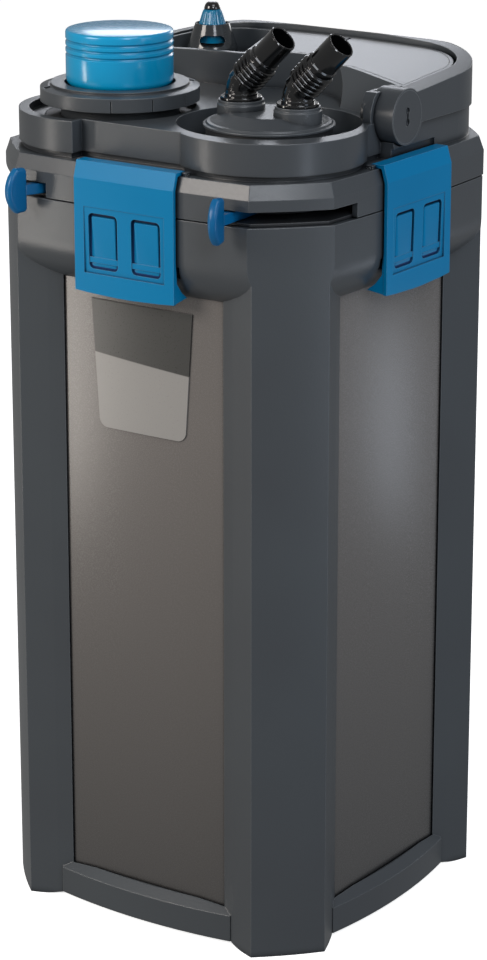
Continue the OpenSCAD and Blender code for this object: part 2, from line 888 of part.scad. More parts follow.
// height 0 at the bar's inner edge at reach - handle_t, falling outwards
module fall_profile(reach) {
    k = handle_fall/handle_t;
    polygon([[0, -80], [reach + 8, -80], [reach + 8, -k*(handle_t + 8)],
             [reach - handle_t - 4, 4*k], [0, 4*k]]);
}

module handle() color(body_grey)
    difference() {
        union() {
            intersection() {
                slab(arm_bottom, bar_crown + 4) difference() {
                    handle_outline(handle_half, handle_rear, handle_round);
                    handle_outline(handle_inner, bar_inner, head_round + 0.5, -1);
                }
                under_crown(bar_crown, handle_crown_r);
                under_fall();
            }
            for (s = [0, 1]) mirror([s, 0, 0]) {
                rod_x(hub_in, handle_half, 0, pivot_z, hub_r);
                translate([handle_inner, 0, 0]) rotate([90, 0, 90]) linear_extrude(handle_t)
                    polygon([[0, pivot_z - 5], [14, pivot_z - 9], [16, pivot_z - 5.6],
                             [19, pivot_z - 5.6], [19, arm_bottom + 4], [0, arm_bottom + 4]]);
            }
        }
        for (s = [0, 1]) mirror([s, 0, 0]) {
            rod_x(hub_in - 1, handle_half - 2, 0, pivot_z, pin_r + run);
            rod_x(handle_half - 2, handle_half + 1, 0, pivot_z, cap_disc_r);
        }
    }

cap_disc_r = hub_r - 1.2;

module handle_caps() color(body_grey)
    for (s = [0, 1]) mirror([s, 0, 0])
        difference() {
            rod_x(handle_half - 2, handle_half, 0, pivot_z, cap_disc_r);
            rod_x(handle_half - 1.2, handle_half + 1, 0, pivot_z + 3.4, 2.3);
            rod_x(handle_half - 1.2, handle_half + 1, 0, pivot_z - 3.4, 2.3);
            translate([handle_half - 1.2, -1.2, pivot_z - 3.4]) cube([3, 2.4, 6.8]);
        }

module handle_pins() color(steel)
    for (s = [0, 1]) mirror([s, 0, 0])
        rod_x(pin_in, handle_half - 2.3, 0, pivot_z, pin_r);

// ---------------------------------------------------------------- levers
// A ring that turns inside the head to lock what stands in it
module bayonet_ring(x, y, r) color("#26282a")
    tube_z(x, -y, r + ring_width, r, lever_z, lever_z + lever_t);

// Arm through the slot, with an upright grip on its end
module lever(x, y, r, at, arm_at) color("#0a6ca6")
    translate([x, -y, 0]) {
        slab(lever_z, lever_z + lever_t) polygon([
            polar(r + ring_width - 0.2, arm_at - 3.2), polar(r + ring_width + fit, arm_at),
            polar(r + ring_width - 0.2, arm_at + 3.2), polar(grip_in + 1, at + 2.2),
            polar(grip_in + 1, at - 2.2)]);
        rotate(at) translate([grip_in, 0, lever_z + lever_t/2]) rotate([90, 0, 0])
            translate([0, 0, -2.9]) linear_extrude(5.8) grip_outline();
    }

function polar(r, a) = [r*cos(a), r*sin(a)];

module grip_outline()
    intersection() {
        translate([0, -grip_h/2]) square([grip_l, grip_h]);
        translate([grip_l - grip_h*0.62, 0]) circle(r = grip_h*0.62);
    }

hose_ring_r = block_r + fit;
prefilter_ring_r = prefilter_r;
module hose_ring() bayonet_ring(hose_x, hose_y, hose_ring_r);
module prefilter_ring() bayonet_ring(-prefilter_x, prefilter_y, prefilter_ring_r);
module hose_lever() lever(hose_x, hose_y, hose_ring_r, lever_front, lever_front_arm);
module prefilter_lever()
    lever(-prefilter_x, prefilter_y, prefilter_ring_r, lever_side, lever_side_arm);

// ---------------------------------------------------------------- prefilter
module at_prefilter() translate([-prefilter_x, -prefilter_y, 0]) children();

module prefilter_cap() color(body_grey) at_prefilter()
    difference() {
        rotate_extrude() polygon([
            [plunger_skirt_r + run, guide_bottom], [bore_r + 2.4, guide_bottom],
            [bore_r + 2.4, cap_bottom], [cap_r, cap_bottom], [cap_r, cap_edge],
            [cap_ring_r + 1.6, cap_top - 1.6], [cap_ring_r, cap_top - 1.6], [cap_ring_r, cap_top],
            [bore_r, cap_top], [bore_r, guide_top], [plunger_skirt_r + run, guide_top]]);
        for (a = [50, 230]) rotate(a)
            translate([cap_ring_r + 0.6, -3, cap_top - 5]) cube([4, 6, 6]);
        for (a = [-60, -30, 0, 30, 60]) rotate(a)
            translate([cap_r - 0.6, -0.4, cap_bottom - 1]) cube([2, 0.8, 8]);
    }

module priming_plunger() color(plunger_blue) at_prefilter()
    rotate_extrude() polygon([
        [plunger_skirt_r - 3, skirt_bottom], [plunger_skirt_r, skirt_bottom],
        [plunger_skirt_r, cap_top - 1.5], [plunger_r - 2.2, cap_top - 1.5],
        [plunger_r, cap_top + 2],
        [plunger_r, groove(0)], [plunger_r - 0.9, groove(0) + 0.5], [plunger_r - 0.9, groove(0) + 1],
        [plunger_r, groove(0) + 1.5],
        [plunger_r, groove(1)], [plunger_r - 0.9, groove(1) + 0.5], [plunger_r - 0.9, groove(1) + 1],
        [plunger_r, groove(1) + 1.5],
        [plunger_r, groove(2)], [plunger_r - 0.9, groove(2) + 0.5], [plunger_r - 0.9, groove(2) + 1],
        [plunger_r, groove(2) + 1.5],
        [plunger_r, plunger_top - 1], [plunger_r - 1, plunger_top], [0, plunger_top],
        [0, plunger_top - 3], [plunger_skirt_r - 3, plunger_top - 3]]);

function groove(i) = plunger_top - 15 + 4*i;

module plunger_seal() color(rubber_black) at_prefilter()
    tube_z(0, 0, plunger_skirt_r - 3, plunger_skirt_r - 4.6, skirt_bottom, skirt_bottom + 3);

spring_z0 = plate_z + plate_t;
spring_z1 = plunger_top - 3.1;
spring_r = 10;
spring_wire = 0.9;
spring_turns = 9;
spring_steps = 12;

function spring_point(i) =
    let (n = spring_turns*spring_steps, a = 360*i/spring_steps,
         z = spring_z0 + spring_wire + (spring_z1 - spring_z0 - 2*spring_wire)*i/n)
    [spring_r*cos(a), spring_r*sin(a), z];

// Round wire wound along spring_point, as one tube with flat ends
module spring_tube(sides = 6) {
    n = spring_turns*spring_steps;
    points = [for (i = [0:n], k = [0:sides - 1])
        let (a = 360*i/spring_steps, b = 360*k/sides, c = spring_point(i))
        [c[0] + spring_wire*cos(b)*cos(a), c[1] + spring_wire*cos(b)*sin(a),
         c[2] + spring_wire*sin(b)]];
    sides_faces = [for (i = [0:n - 1], k = [0:sides - 1], t = [0, 1])
        let (k2 = (k + 1) % sides, a = i*sides + k, b = i*sides + k2)
        t == 0 ? [a, a + sides, b + sides] : [a, b + sides, b]];
    ends = concat([for (k = [1:sides - 2]) [0, k, k + 1]],
                  [for (k = [1:sides - 2]) [n*sides, n*sides + k + 1, n*sides + k]]);
    polyhedron(points, concat(sides_faces, ends));
}

module priming_spring() color(steel) at_prefilter() spring_tube();

module prefilter_head() color("#3c3f41") at_prefilter()
    difference() {
        union() {
            tube_z(0, 0, prefilter_r - fit, prefilter_r - 3.3, plate_z, head_top);
            rod_z(0, 0, prefilter_r - fit, plate_z, plate_z + plate_t);
            tube_z(0, 0, prefilter_r - 3, bore_r + 2.4 + fit, head_top - 3, head_top);
        }
        difference() {
            rod_z(0, 0, plunger_skirt_r + 1, plate_z - 1, plate_z + plate_t + 1);
            rod_z(0, 0, spring_r + 3, plate_z - 2, plate_z + plate_t + 2);
            for (a = [0:120:240]) rotate(a)
                translate([0, -3, plate_z - 2]) cube([plunger_skirt_r + 3, 6, plate_t + 4]);
        }
    }

module prefilter_pipe() color("#2a2c2e") at_prefilter()
    difference() {
        tube_z(0, 0, pipe_r, pipe_r - 2, column_bottom + 4, plate_z);
        for (z = [column_bottom + 20:16:plate_z - 40], a = [0, 90])
            translate([0, 0, z]) rotate([0, 90, a]) cylinder(r = 3, h = 60, center = true, $fn = 24);
    }

foam_count = 5;
foam_gap = 4;
foam_h = (column_l - 20 - foam_gap*foam_count)/foam_count;

module prefilter_foams() color(foam_blue) at_prefilter()
    for (i = [0:foam_count - 1])
        tube_z(0, 0, foam_r, pipe_r + fit, foam_z(i), foam_z(i) + foam_h);

function foam_z(i) = column_bottom + 4 + fit + i*(foam_h + foam_gap);

module prefilter_cage() color("#2a2c2e") at_prefilter() {
    rod_z(0, 0, foam_r + 3, column_bottom, column_bottom + 4);
    for (a = [0:90:270]) rotate(a)
        rod_z(foam_r + 1.6, 0, 1, column_bottom + 3, plate_z);
    for (i = [0:foam_count - 2])
        tube_z(0, 0, foam_r + 2.1, pipe_r + fit, foam_z(i) + foam_h + 0.4,
               foam_z(i + 1) - 0.4);
}

// ---------------------------------------------------------------- hose unit
module at_hose() translate([hose_x, -hose_y, 0]) children();
module at_ports() for (s = [-1, 1]) translate([s*port_half, 0, 0]) children();

seal_z = pit_z - 1.5;
module hose_block() color("#3c3f41") at_hose()
    difference() {
        union() {
            rod_z(0, 0, block_r, seam_z - 10, pit_z + eps);
            rod_z(0, 0, dome_r - 1.6, pit_z, dome_z);
        }
        at_ports() rod_z(0, 0, 9, seam_z - 11, dome_z + 1);
        tube_z(0, 0, block_r + 1, block_r - 1.6, seal_z - 1, seal_z + 1);
    }

module hose_seals() color(rubber_black) at_hose() {
    translate([0, 0, seal_z]) rotate_extrude() translate([block_r - 0.8, 0]) circle(r = 0.8, $fn = 24);
    at_ports() translate([0, 0, dome_z - 6]) rotate_extrude()
        translate([8.4, 0]) circle(r = 0.6, $fn = 24);
}

module hose_dome() color(body_grey) at_hose()
    difference() {
        rotate_extrude() polygon([
            [0, dome_z], [dome_r, dome_z], [dome_r, dome_z + 1.2], [dome_r - 1.6, dome_z + 1.6],
            [dome_r - 2.2, dome_z + 2.6], [dome_r - 4, dome_z + 3], [dome_r - 7.6, dome_z + 4.4],
            [dome_r - 15.6, dome_top], [0, dome_top]]);
        at_ports() rod_z(0, 0, collar_r, dome_z - 1, dome_top + 1);
    }

module port_collars() color(body_grey) at_hose() at_ports()
    rotate_extrude() polygon([
        [elbow_spigot_r + run, dome_z], [collar_r, dome_z], [collar_r, collar_z - 2.6],
        [collar_r - 0.7, collar_z - 1.9], [collar_r - 0.7, collar_z], [elbow_spigot_r + run, collar_z]]);

elbow_spigot_r = 7.8;
rib_count = 5;
rib_pitch = 3.1;
module elbow_shape(s) color(gloss_black)
    translate([hose_x + s*port_half, -hose_y, 0])
        difference() {
            union() {
                rod_z(0, 0, elbow_spigot_r, dome_z - 4, collar_z + 1);
                rod_z(0, 0, collar_r - 1.7, collar_z + 0.1, collar_z + flange_t);
                translate([0, 0, collar_z + flange_t - eps])
                    cylinder(r = spigot_r + 0.9, h = bend_z - collar_z - flange_t, $fn = 12);
                translate([0, 0, bend_z]) sphere(r = spigot_r + 0.8, $fn = 48);
                along_spigot() {
                    cylinder(r = spigot_r + 0.6, h = 20);
                    for (i = [0:rib_count - 1]) translate([0, 0, 6 + rib_pitch*i])
                        cylinder(r1 = spigot_r + 2, r2 = spigot_r + 1.2, h = 1.6);
                    cylinder(r = spigot_r, h = spigot_l);
                }
            }
            rod_z(0, 0, spigot_bore - 1.2, dome_z - 5, bend_z);
            translate([0, 0, bend_z]) sphere(r = spigot_bore - 1.2, $fn = 48);
            along_spigot() cylinder(r = spigot_bore, h = spigot_l + 1);
        }

module along_spigot() translate([0, 0, bend_z]) rotate([0, 90 - spigot_tilt, 0]) children();

module elbow_left() elbow_shape(-1);
module elbow_right() elbow_shape(1);

// ---------------------------------------------------------------- heater
module at_heater() translate([-heater_x, heater_y, 0]) children();

module heater_housing() color("#6f7276") at_heater()
    difference() {
        rotate_extrude() polygon([
            [0, heater_floor], [16.4, heater_floor], [16, heater_floor + 6],
            [10.9, heater_floor + housing_h], [dial_r + 0.4, heater_floor + housing_h],
            [dial_r + 0.4, dial_z - fit], [0, dial_z - fit]]);
        // window towards the front, through which the dial's skirt shows
        rotate(-55) translate([4, 0, window_z]) rotate([0, 90, 0]) {
            for (y = [-4.6, 4.6]) translate([0, y, 0]) cylinder(r = 3.4, h = 20);
            translate([-3.4, -4.6, 0]) cube([6.8, 9.2, 20]);
        }
    }

dial_ribs = 18;
stem_r = 2.5;
module heater_dial() color("#0f7ea6") at_heater()
    difference() {
        union() {
            rotate_extrude() polygon([
                [stem_r + fit, dial_z], [dial_r, dial_z], [dial_r, heater_floor + housing_h - 3],
                [dial_r - 1, heater_floor + housing_h], [6, dial_top - 1], [5.4, dial_top],
                [stem_r + fit, dial_top], [stem_r + fit, dial_z]]);
        }
        for (i = [0:dial_ribs - 1]) rotate(360*i/dial_ribs)
            translate([dial_r + 1.1, 0, heater_floor + housing_h - 2])
                rotate([0, -19, 0]) cylinder(r = 0.9, h = 10, $fn = 24);
    }

module heater_cap() color(gloss_black) at_heater()
    rotate_extrude() polygon([
        [0, dial_z - fit], [stem_r, dial_z - fit], [stem_r, dial_top + fit],
        [5.2, dial_top + fit], [4.6, dial_top + 2.2], [3.4, dial_top + 4],
        [2.6, dial_top + 4.8], [0, dial_top + 4.8]]);

module heater_rod() color("#8e9498") at_heater()
    difference() {
        union() {
            rod_z(0, 0, rod_r, heater_floor - 4 - rod_l, heater_floor);
            translate([0, 0, heater_floor - 4 - rod_l]) sphere(r = rod_r, $fn = 48);
        }
        rod_z(0, 0, rod_r - 1.2, heater_floor - 4 - rod_l, heater_floor - 2);
    }

module heater_seal() color(rubber_black) at_heater()
    tube_z(0, 0, rod_r + 2.6, rod_r, heater_floor - head_wall, heater_floor - 0.2);

module cable_glands() color(rubber_black)
    for (x = [-gland_x, gland_x])
        translate([x, shoulder - head_wall - 2, gland_z]) rotate([-90, 0, 0])
            difference() {
                union() {
                    cylinder(r = gland_r, h = head_wall + 3);
                    cylinder(r = gland_r + 1.6, h = 2);
                    translate([0, 0, head_wall + 2]) cylinder(r = gland_r + 1.6, h = 6);
                }
                translate([0, 0, -1]) cylinder(r = 3.2, h = 30);
            }

// ---------------------------------------------------------------- pump
module at_motor() translate([motor_x, motor_y, 0]) children();

module motor_housing() color("#33363a") at_motor()
    difference() {
        rod_z(0, 0, motor_r, motor_z, motor_top);
        tube_z(0, 0, motor_r - 2, rotor_r + 2, motor_z + 3, motor_top - 3);
        rod_z(0, 0, rotor_r + 0.8, motor_z - 1, motor_top - 5);
    }

module stator_coil() color("#b5713a") at_motor()
    tube_z(0, 0, motor_r - 2.3, rotor_r + 2.2, motor_z + 3.2, motor_top - 3.2);

bush_t = 3;
module rotor_magnet() color("#2b2b2e") at_motor()
    tube_z(0, 0, rotor_r, shaft_r + run, motor_z + 1, motor_top - 6 - bush_t);

module impeller() color("#d8d9da") at_motor()
    difference() {
        union() {
            rod_z(0, 0, 6, motor_z - 9, motor_z + 1);
            for (i = [0:blades - 1]) rotate(360*i/blades)
                translate([4, -0.9, motor_z - 9]) cube([impeller_r - 4, 1.8, 8]);
            rod_z(0, 0, impeller_r, motor_z - 2, motor_z - 0.6);
        }
        rod_z(0, 0, shaft_r + run, motor_z - 10, motor_z + 2);
    }

module rotor_shaft() color("#e6e6e2") at_motor()
    rod_z(0, 0, shaft_r, base_top + 0.2, motor_top - 5.2);

module shaft_bushes() color(rubber_black) at_motor() {
    tube_z(0, 0, 5, shaft_r, motor_top - 5 - bush_t, motor_top - 5);
    difference() {
        tube_z(0, 0, 5, shaft_r, base_top, base_top + 2);
        tube_z(0, 0, 4.4, 3.4, base_top - 1, base_top + 1);
    }
    for (a = [0:120:240]) rotate(a)
        translate([4.6, -0.8, base_top]) cube([4.38, 1.6, 1.2]);
}

module volute() color("#33363a") at_motor()
    difference() {
        rod_z(0, 0, impeller_r + 7, base_top, motor_z);
        rod_z(0, 0, impeller_r + 3, base_top + 2, motor_z + 1);
        rod_z(0, 0, 9, base_top - 1, base_top + 3);
        translate([0, -6, base_top + 3]) cube([60, 8, 7]);
    }

// ---------------------------------------------------------------- media
// Plan of a tray, drawn in by g: full square without the two left corners
module tray_plan(g = 0) {
    t = tray_half - g;
    c = tray_half - 15 - g*0.4;
    polygon([[-13 + g, -t], [c, -t], [t, -c], [t, c], [c, t], [-54 + g, t],
             [-54 + g, 50 - g], [-t, 50 - g], [-t, -12 + g], [-13 + g, -12 + g]]);
}

module media_tray(i) color("#4a4e52")
    translate([0, 0, tray_z + i*tray_h])
        difference() {
            linear_extrude(tray_h) tray_plan();
            translate([0, 0, tray_wall]) linear_extrude(tray_h) tray_plan(tray_wall);
            for (y = [-80:20:80]) translate([0, y - 3, -1]) cube([80, 6, tray_wall + 2]);
            for (y = [0:20:40]) translate([-80, y - 3, -1]) cube([70, 6, tray_wall + 2]);
        }

module filter_foam(i) color(i % 2 == 0 ? foam_blue : "#c9b25a")
    translate([0, 0, tray_z + i*tray_h + tray_wall])
        linear_extrude(tray_h - tray_wall - 6) tray_plan(tray_wall + fit);

module media_tray_1() media_tray(0);
module media_tray_2() media_tray(1);
module media_tray_3() media_tray(2);
module media_tray_4() media_tray(3);
module filter_foam_1() filter_foam(0);
module filter_foam_2() filter_foam(1);
module filter_foam_3() filter_foam(2);
module filter_foam_4() filter_foam(3);

outer_frame();
foot_pads();
container();
container_seal();
badge_plate();
head_housing();
head_base();
base_screws();
cover_left();
cover_right();
clip_front();
clip_right();
clip_back();
clip_left();
clip_pins();
handle();
handle_caps();
handle_pins();
prefilter_ring();
prefilter_lever();
hose_ring();
hose_lever();
prefilter_cap();
priming_plunger();
plunger_seal();
priming_spring();
prefilter_head();
prefilter_pipe();
prefilter_foams();
prefilter_cage();
hose_block();
hose_seals();
hose_dome();
port_collars();
elbow_left();
elbow_right();
heater_housing();
heater_dial();
heater_cap();
heater_rod();
heater_seal();
cable_glands();
motor_housing();
stator_coil();
rotor_magnet();
rotor_shaft();
shaft_bushes();
impeller();
volute();
media_tray_1();
media_tray_2();
media_tray_3();
media_tray_4();
filter_foam_1();
filter_foam_2();
filter_foam_3();
filter_foam_4();
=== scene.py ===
# %% [markdown]
# # A canister filter for an aquarium
# The solids come from the construction model and set every size and place.
# This file gives them their finish, and builds finer copies of the pieces that
# the hand and the eye meet first: the clips, the levers, the priming plunger
# and its spring, the hose elbows and the heater's dial.

# %% Load the solids
import math

import bmesh
import bpy
from mathutils import Matrix, Vector


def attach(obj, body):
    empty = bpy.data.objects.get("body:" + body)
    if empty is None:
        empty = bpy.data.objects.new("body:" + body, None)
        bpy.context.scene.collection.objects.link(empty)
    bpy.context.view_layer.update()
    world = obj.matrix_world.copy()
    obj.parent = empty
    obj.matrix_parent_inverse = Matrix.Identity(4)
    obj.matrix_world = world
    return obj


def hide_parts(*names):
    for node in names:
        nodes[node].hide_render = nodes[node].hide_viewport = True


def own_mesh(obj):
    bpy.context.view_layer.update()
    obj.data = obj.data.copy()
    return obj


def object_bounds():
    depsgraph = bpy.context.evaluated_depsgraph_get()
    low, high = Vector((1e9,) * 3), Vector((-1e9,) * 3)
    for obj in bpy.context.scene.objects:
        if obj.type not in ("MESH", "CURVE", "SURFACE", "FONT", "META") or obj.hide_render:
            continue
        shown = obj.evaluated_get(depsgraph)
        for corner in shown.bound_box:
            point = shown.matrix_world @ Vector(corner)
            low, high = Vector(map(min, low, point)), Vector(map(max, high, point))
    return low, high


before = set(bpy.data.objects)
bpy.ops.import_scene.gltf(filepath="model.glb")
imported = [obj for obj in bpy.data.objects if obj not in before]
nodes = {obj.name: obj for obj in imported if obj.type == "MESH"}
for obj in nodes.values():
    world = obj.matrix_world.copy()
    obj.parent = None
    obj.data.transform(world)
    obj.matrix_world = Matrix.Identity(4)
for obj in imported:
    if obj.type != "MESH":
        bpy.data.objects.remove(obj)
cad_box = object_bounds()
mm = 0.001
cad_height = (cad_box[1][2] - cad_box[0][2]) / mm
print("solids loaded:", len(nodes), "height", round(cad_height, 1), "mm")

# %% [markdown]
# ## Camera
# A long lens two metres away keeps the upright edges nearly parallel, as in a
# catalogue picture. The camera stands to the right of the front face and a
# little above the lid, so the front, the right side and the deck are all seen.

# %% Camera
azimuth, elevation = math.radians(34.49), math.radians(17.4)
distance, aim_height, aim_side = 2006.4, 261.46, -0.945
back = Vector((math.sin(azimuth) * math.cos(elevation),
               -math.cos(azimuth) * math.cos(elevation), math.sin(elevation)))
right = Vector((math.cos(azimuth), math.sin(azimuth), 0))
camera_data = bpy.data.cameras.new("camera")
camera_data.sensor_width = camera_data.sensor_height = 36
camera_data.sensor_fit = "AUTO"
camera_data.lens = 118.9
camera_data.clip_end = 100
camera = bpy.data.objects.new("camera", camera_data)
camera.location = (right * (aim_side * mm) + Vector((0, 0, aim_height * mm))
                   + back * (distance * mm))
camera.rotation_euler = back.to_track_quat("Z", "Y").to_euler()
bpy.context.scene.collection.objects.link(camera)
bpy.context.scene.camera = camera
print("camera at", [round(v, 3) for v in camera.location])

# %% [markdown]
# ## Helpers for the materials
# Colours are picked as the eye sees them on a screen, in hex. Blender wants
# linear light, so one function turns one into the other. A second function
# adds a shader node together with its settings and wires.

# %% Colour and node helpers
def linear(hex_colour):
    """Turn a screen colour such as #55585b to linear RGBA."""
    parts = [int(hex_colour[i:i + 2], 16) / 255 for i in (1, 3, 5)]
    return [p / 12.92 if p <= 0.04045 else ((p + 0.055) / 1.055) ** 2.4 for p in parts] + [1.0]


def add_node(tree, kind, settings=None, links=None):
    """Add a shader node, set its properties and sockets, and wire its inputs."""
    made = tree.nodes.new(kind)
    for name, value in (settings or {}).items():
        if isinstance(name, str) and name not in made.inputs:
            setattr(made, name, value)
        else:
            made.inputs[name].default_value = value
    for name, source in (links or {}).items():
        tree.links.new(source, made.inputs[name])
    return made


def empty_material(name):
    """A new material with nothing in it but its output."""
    material = bpy.data.materials.new(name)
    material.use_nodes = True
    material.node_tree.nodes.clear()
    return material, material.node_tree


print("body grey in linear light:", [round(v, 3) for v in linear("#55585b")])

# %% [markdown]
# ## Moulded plastic
# Nearly everything outside is injection-moulded ABS. The mould leaves three
# marks that the eye reads as plastic: a spark-eroded grain of about half a
# millimetre, edges with a small radius that catch a line of light, and a
# surface that is never quite even in tone. The grain is drawn a little coarser
# than on the real lid, because a finer one wouldn't show. The Bevel node rounds
# the edges of the solids in the shading only, and where its normal leaves the
# flat one the colour is painted lighter: partly wear, as on a filter that is
# handled, and partly a painted highlight along every edge.
# Ambient occlusion finds the grooves, and there the colour is painted darker: painted shade.
# The tub's panels are drawn darker towards the foot.

# %% Moulded plastic
# the light tone is painted on every edge, partly wear and partly a painted highlight; the dark
# tone is painted shade in the grooves
cloud_size, wear_and_highlight_tone, painted_shade_tone = 90, "#dfe6ea", "#3c4350"


def moulded(name, colour, shade, roughness, grain=0.6, relief=0.05, edge=0.8,
            edge_lightening=0.12, coat=0.0, shade_reach=5.0, ior=1.53, fade=None, specular=0.5):
    """ABS: colour and shade are two close tones; grain, edge and the reach of the painted shade
    in grooves are in millimetres.

    With fade, a pair of heights, the shade lies at the first and the colour at the second.
    """
    material, tree = empty_material(name)
    place = add_node(tree, "ShaderNodeTexCoord").outputs["Object"]
    clouds = add_node(tree, "ShaderNodeTexNoise",
                      {"Scale": 1 / (cloud_size * mm), "Detail": 2.0},
                      {"Vector": place}).outputs["Fac"]
    fine = add_node(tree, "ShaderNodeTexNoise",
                    {"Scale": 1 / (grain * 2 * mm), "Detail": 1.0},
                    {"Vector": place}).outputs["Fac"]
    # edges painted lighter where the rounded normal leaves the flat one: partly wear, partly a
    # painted highlight
    rounded = add_node(tree, "ShaderNodeBevel",
                       {"samples": 6, "Radius": edge * mm}).outputs["Normal"]
    flat = add_node(tree, "ShaderNodeNewGeometry").outputs["Normal"]
    agree = add_node(tree, "ShaderNodeVectorMath", {"operation": "DOT_PRODUCT"},
                     {0: rounded, 1: flat}).outputs["Value"]
    edges = add_node(tree, "ShaderNodeMapRange",
                     {"From Min": 0.99, "From Max": 0.8, "To Min": 0.0, "To Max": edge_lightening},
                     {"Value": agree}).outputs["Result"]
    # the two tones, in clouds or by height
    spread, measure = (0.3, 0.7), clouds
    if fade:
        spread = (fade[1] * mm, fade[0] * mm)
        measure = add_node(tree, "ShaderNodeSeparateXYZ", {}, {"Vector": place}).outputs["Z"]
    tone = add_node(tree, "ShaderNodeMapRange",
                    {"From Min": spread[0], "From Max": spread[1]},
                    {"Value": measure}).outputs["Result"]
    base = add_node(tree, "ShaderNodeMix",
                    {"data_type": "RGBA", 6: linear(colour), 7: linear(shade)}, {0: tone})
    edge_lightened = add_node(tree, "ShaderNodeMix",
                    {"data_type": "RGBA", "blend_type": "SCREEN", 7: linear(wear_and_highlight_tone)},
                    {0: edges, 6: base.outputs[2]})
    # painted shade: darker colour in the grooves that ambient occlusion finds
    open_sky = add_node(tree, "ShaderNodeAmbientOcclusion",
                        {"samples": 6, "Distance": shade_reach * mm}).outputs["AO"]
    painted_shade_amount = add_node(tree, "ShaderNodeMapRange",
                    {"From Min": 0.35, "From Max": 0.9, "To Min": 0.95, "To Max": 0.0},
                    {"Value": open_sky}).outputs["Result"]
    deep = add_node(tree, "ShaderNodeMix",
                    {"data_type": "RGBA", "blend_type": "MULTIPLY", 7: linear(painted_shade_tone)},
                    {0: painted_shade_amount, 6: edge_lightened.outputs[2]})
    rough = add_node(tree, "ShaderNodeMapRange",
                     {"From Min": 0.25, "From Max": 0.75,
                      "To Min": roughness - 0.02, "To Max": roughness + 0.02},
                     {"Value": fine}).outputs["Result"]
    grainy = add_node(tree, "ShaderNodeBump", {"Strength": 1.0, "Distance": relief * mm},
                      {"Height": fine, "Normal": rounded}).outputs["Normal"]
    shader = add_node(tree, "ShaderNodeBsdfPrincipled",
                      {"IOR": ior, "Coat Weight": coat, "Coat Roughness": 0.12,
                       "Specular IOR Level": specular},
                      {"Base Color": deep.outputs[2], "Roughness": rough, "Normal": grainy})
    add_node(tree, "ShaderNodeOutputMaterial", {}, {"Surface": shader.outputs["BSDF"]})
    return material


body_abs = moulded("moulded ABS body grey", "#454a4e", "#42464a", 0.33, relief=0.035,
                   edge_lightening=0.16)
panel_abs = moulded("moulded SAN panel warm grey", "#6d6966", "#4c4b4a", 0.27, grain=0.3,
                    relief=0.001, fade=(20, 330))
cover_abs = moulded("satin ABS cover light grey", "#8f9297", "#898c91", 0.38, relief=0.002)
print("plastics:", body_abs.name, "|", panel_abs.name, "|", cover_abs.name)

# %% [markdown]
# ## The coloured pieces
# What the hand works is blue, so that nobody has to search for it: the clips,
# the levers and the plunger. They come out of polished moulds, so their grain is
# finer and they are smoother than the grey. The finger windows of the clips are
# shallower here than on the real plate, so the ring round their floor is painted
# a deeper blue, painted shade that stands for the missing depth. The hose elbows
# are black SAN, which is glossy enough to mirror the room.

# %% Blue and black plastics
clip_abs = moulded("smooth ABS clip blue", "#007eb2", "#0078ab", 0.30, grain=0.4,
                   relief=0.008, edge=0.5, edge_lightening=0.2, shade_reach=4.0, ior=1.45, specular=0.15)
# painted shade: a darker blue for the ring round the floor of each finger window
pocket_shade_abs = moulded("smooth ABS clip blue with painted pocket shade", "#17386b", "#143260", 0.4,
                     grain=0.4, relief=0.008, edge=0.3, edge_lightening=0.05, specular=0.1)
plunger_abs = moulded("smooth ABS plunger blue", "#009ccf", "#0098cb", 0.24, grain=0.4,
                      relief=0.001, edge=0.4, edge_lightening=0.1, coat=0.4, shade_reach=2.0, specular=0.45)
lever_pom = moulded("POM lever blue", "#04649a", "#035e92", 0.30, grain=0.4, relief=0.008,
                    edge=0.5, edge_lightening=0.15, specular=0.35)
elbow_san = moulded("polished SAN black", "#0d0e10", "#08090a", 0.10, grain=0.5, relief=0.004,
                    edge=0.3, edge_lightening=0.1, coat=0.6)
dark_pp = moulded("moulded PP dark grey", "#2f3235", "#2a2c2f", 0.48)
white_pps = moulded("moulded PPS white", "#d4d5d6", "#c9cacc", 0.35)
print("coloured plastics made:", [m.name for m in (clip_abs, plunger_abs, lever_pom, elbow_san)])

# %% [markdown]
# ## See-through plastics of the heater
# The temperature dial is clear teal polycarbonate, and the cone round it is
# smoky. Transmission lets the light through them, and a little roughness makes
# the inside milky, as moulded plastic of that thickness is.

# %% See-through plastics
def clear_plastic(name, colour, shade, see_through, roughness, streak=6, relief=0.03, edge=0.3):
    """Tinted polycarbonate with faint flow lines from the mould, in millimetres."""
    material, tree = empty_material(name)
    place = add_node(tree, "ShaderNodeTexCoord").outputs["Object"]
    flow = add_node(tree, "ShaderNodeTexNoise",
                    {"Scale": 1 / (streak * mm), "Detail": 3.0, "Distortion": 1.5},
                    {"Vector": place}).outputs["Fac"]
    tint = add_node(tree, "ShaderNodeMix",
                    {"data_type": "RGBA", 6: linear(colour), 7: linear(shade)}, {0: flow})
    rounded = add_node(tree, "ShaderNodeBevel",
                       {"samples": 4, "Radius": edge * mm}).outputs["Normal"]
    wavy = add_node(tree, "ShaderNodeBump", {"Strength": 1.0, "Distance": relief * mm},
                    {"Height": flow, "Normal": rounded}).outputs["Normal"]
    shader = add_node(tree, "ShaderNodeBsdfPrincipled",
                      {"IOR": 1.58, "Transmission Weight": see_through, "Roughness": roughness},
                      {"Base Color": tint.outputs[2], "Normal": wavy})
    add_node(tree, "ShaderNodeOutputMaterial", {}, {"Surface": shader.outputs["BSDF"]})
    return material


dial_pc = clear_plastic("tinted polycarbonate teal", "#0f8dba", "#0878a6", 0.3, 0.1)
smoky_pc = clear_plastic("tinted polycarbonate smoky", "#3d4144", "#303336", 0.2, 0.14)
print("see-through plastics:", dial_pc.name, "|", smoky_pc.name)
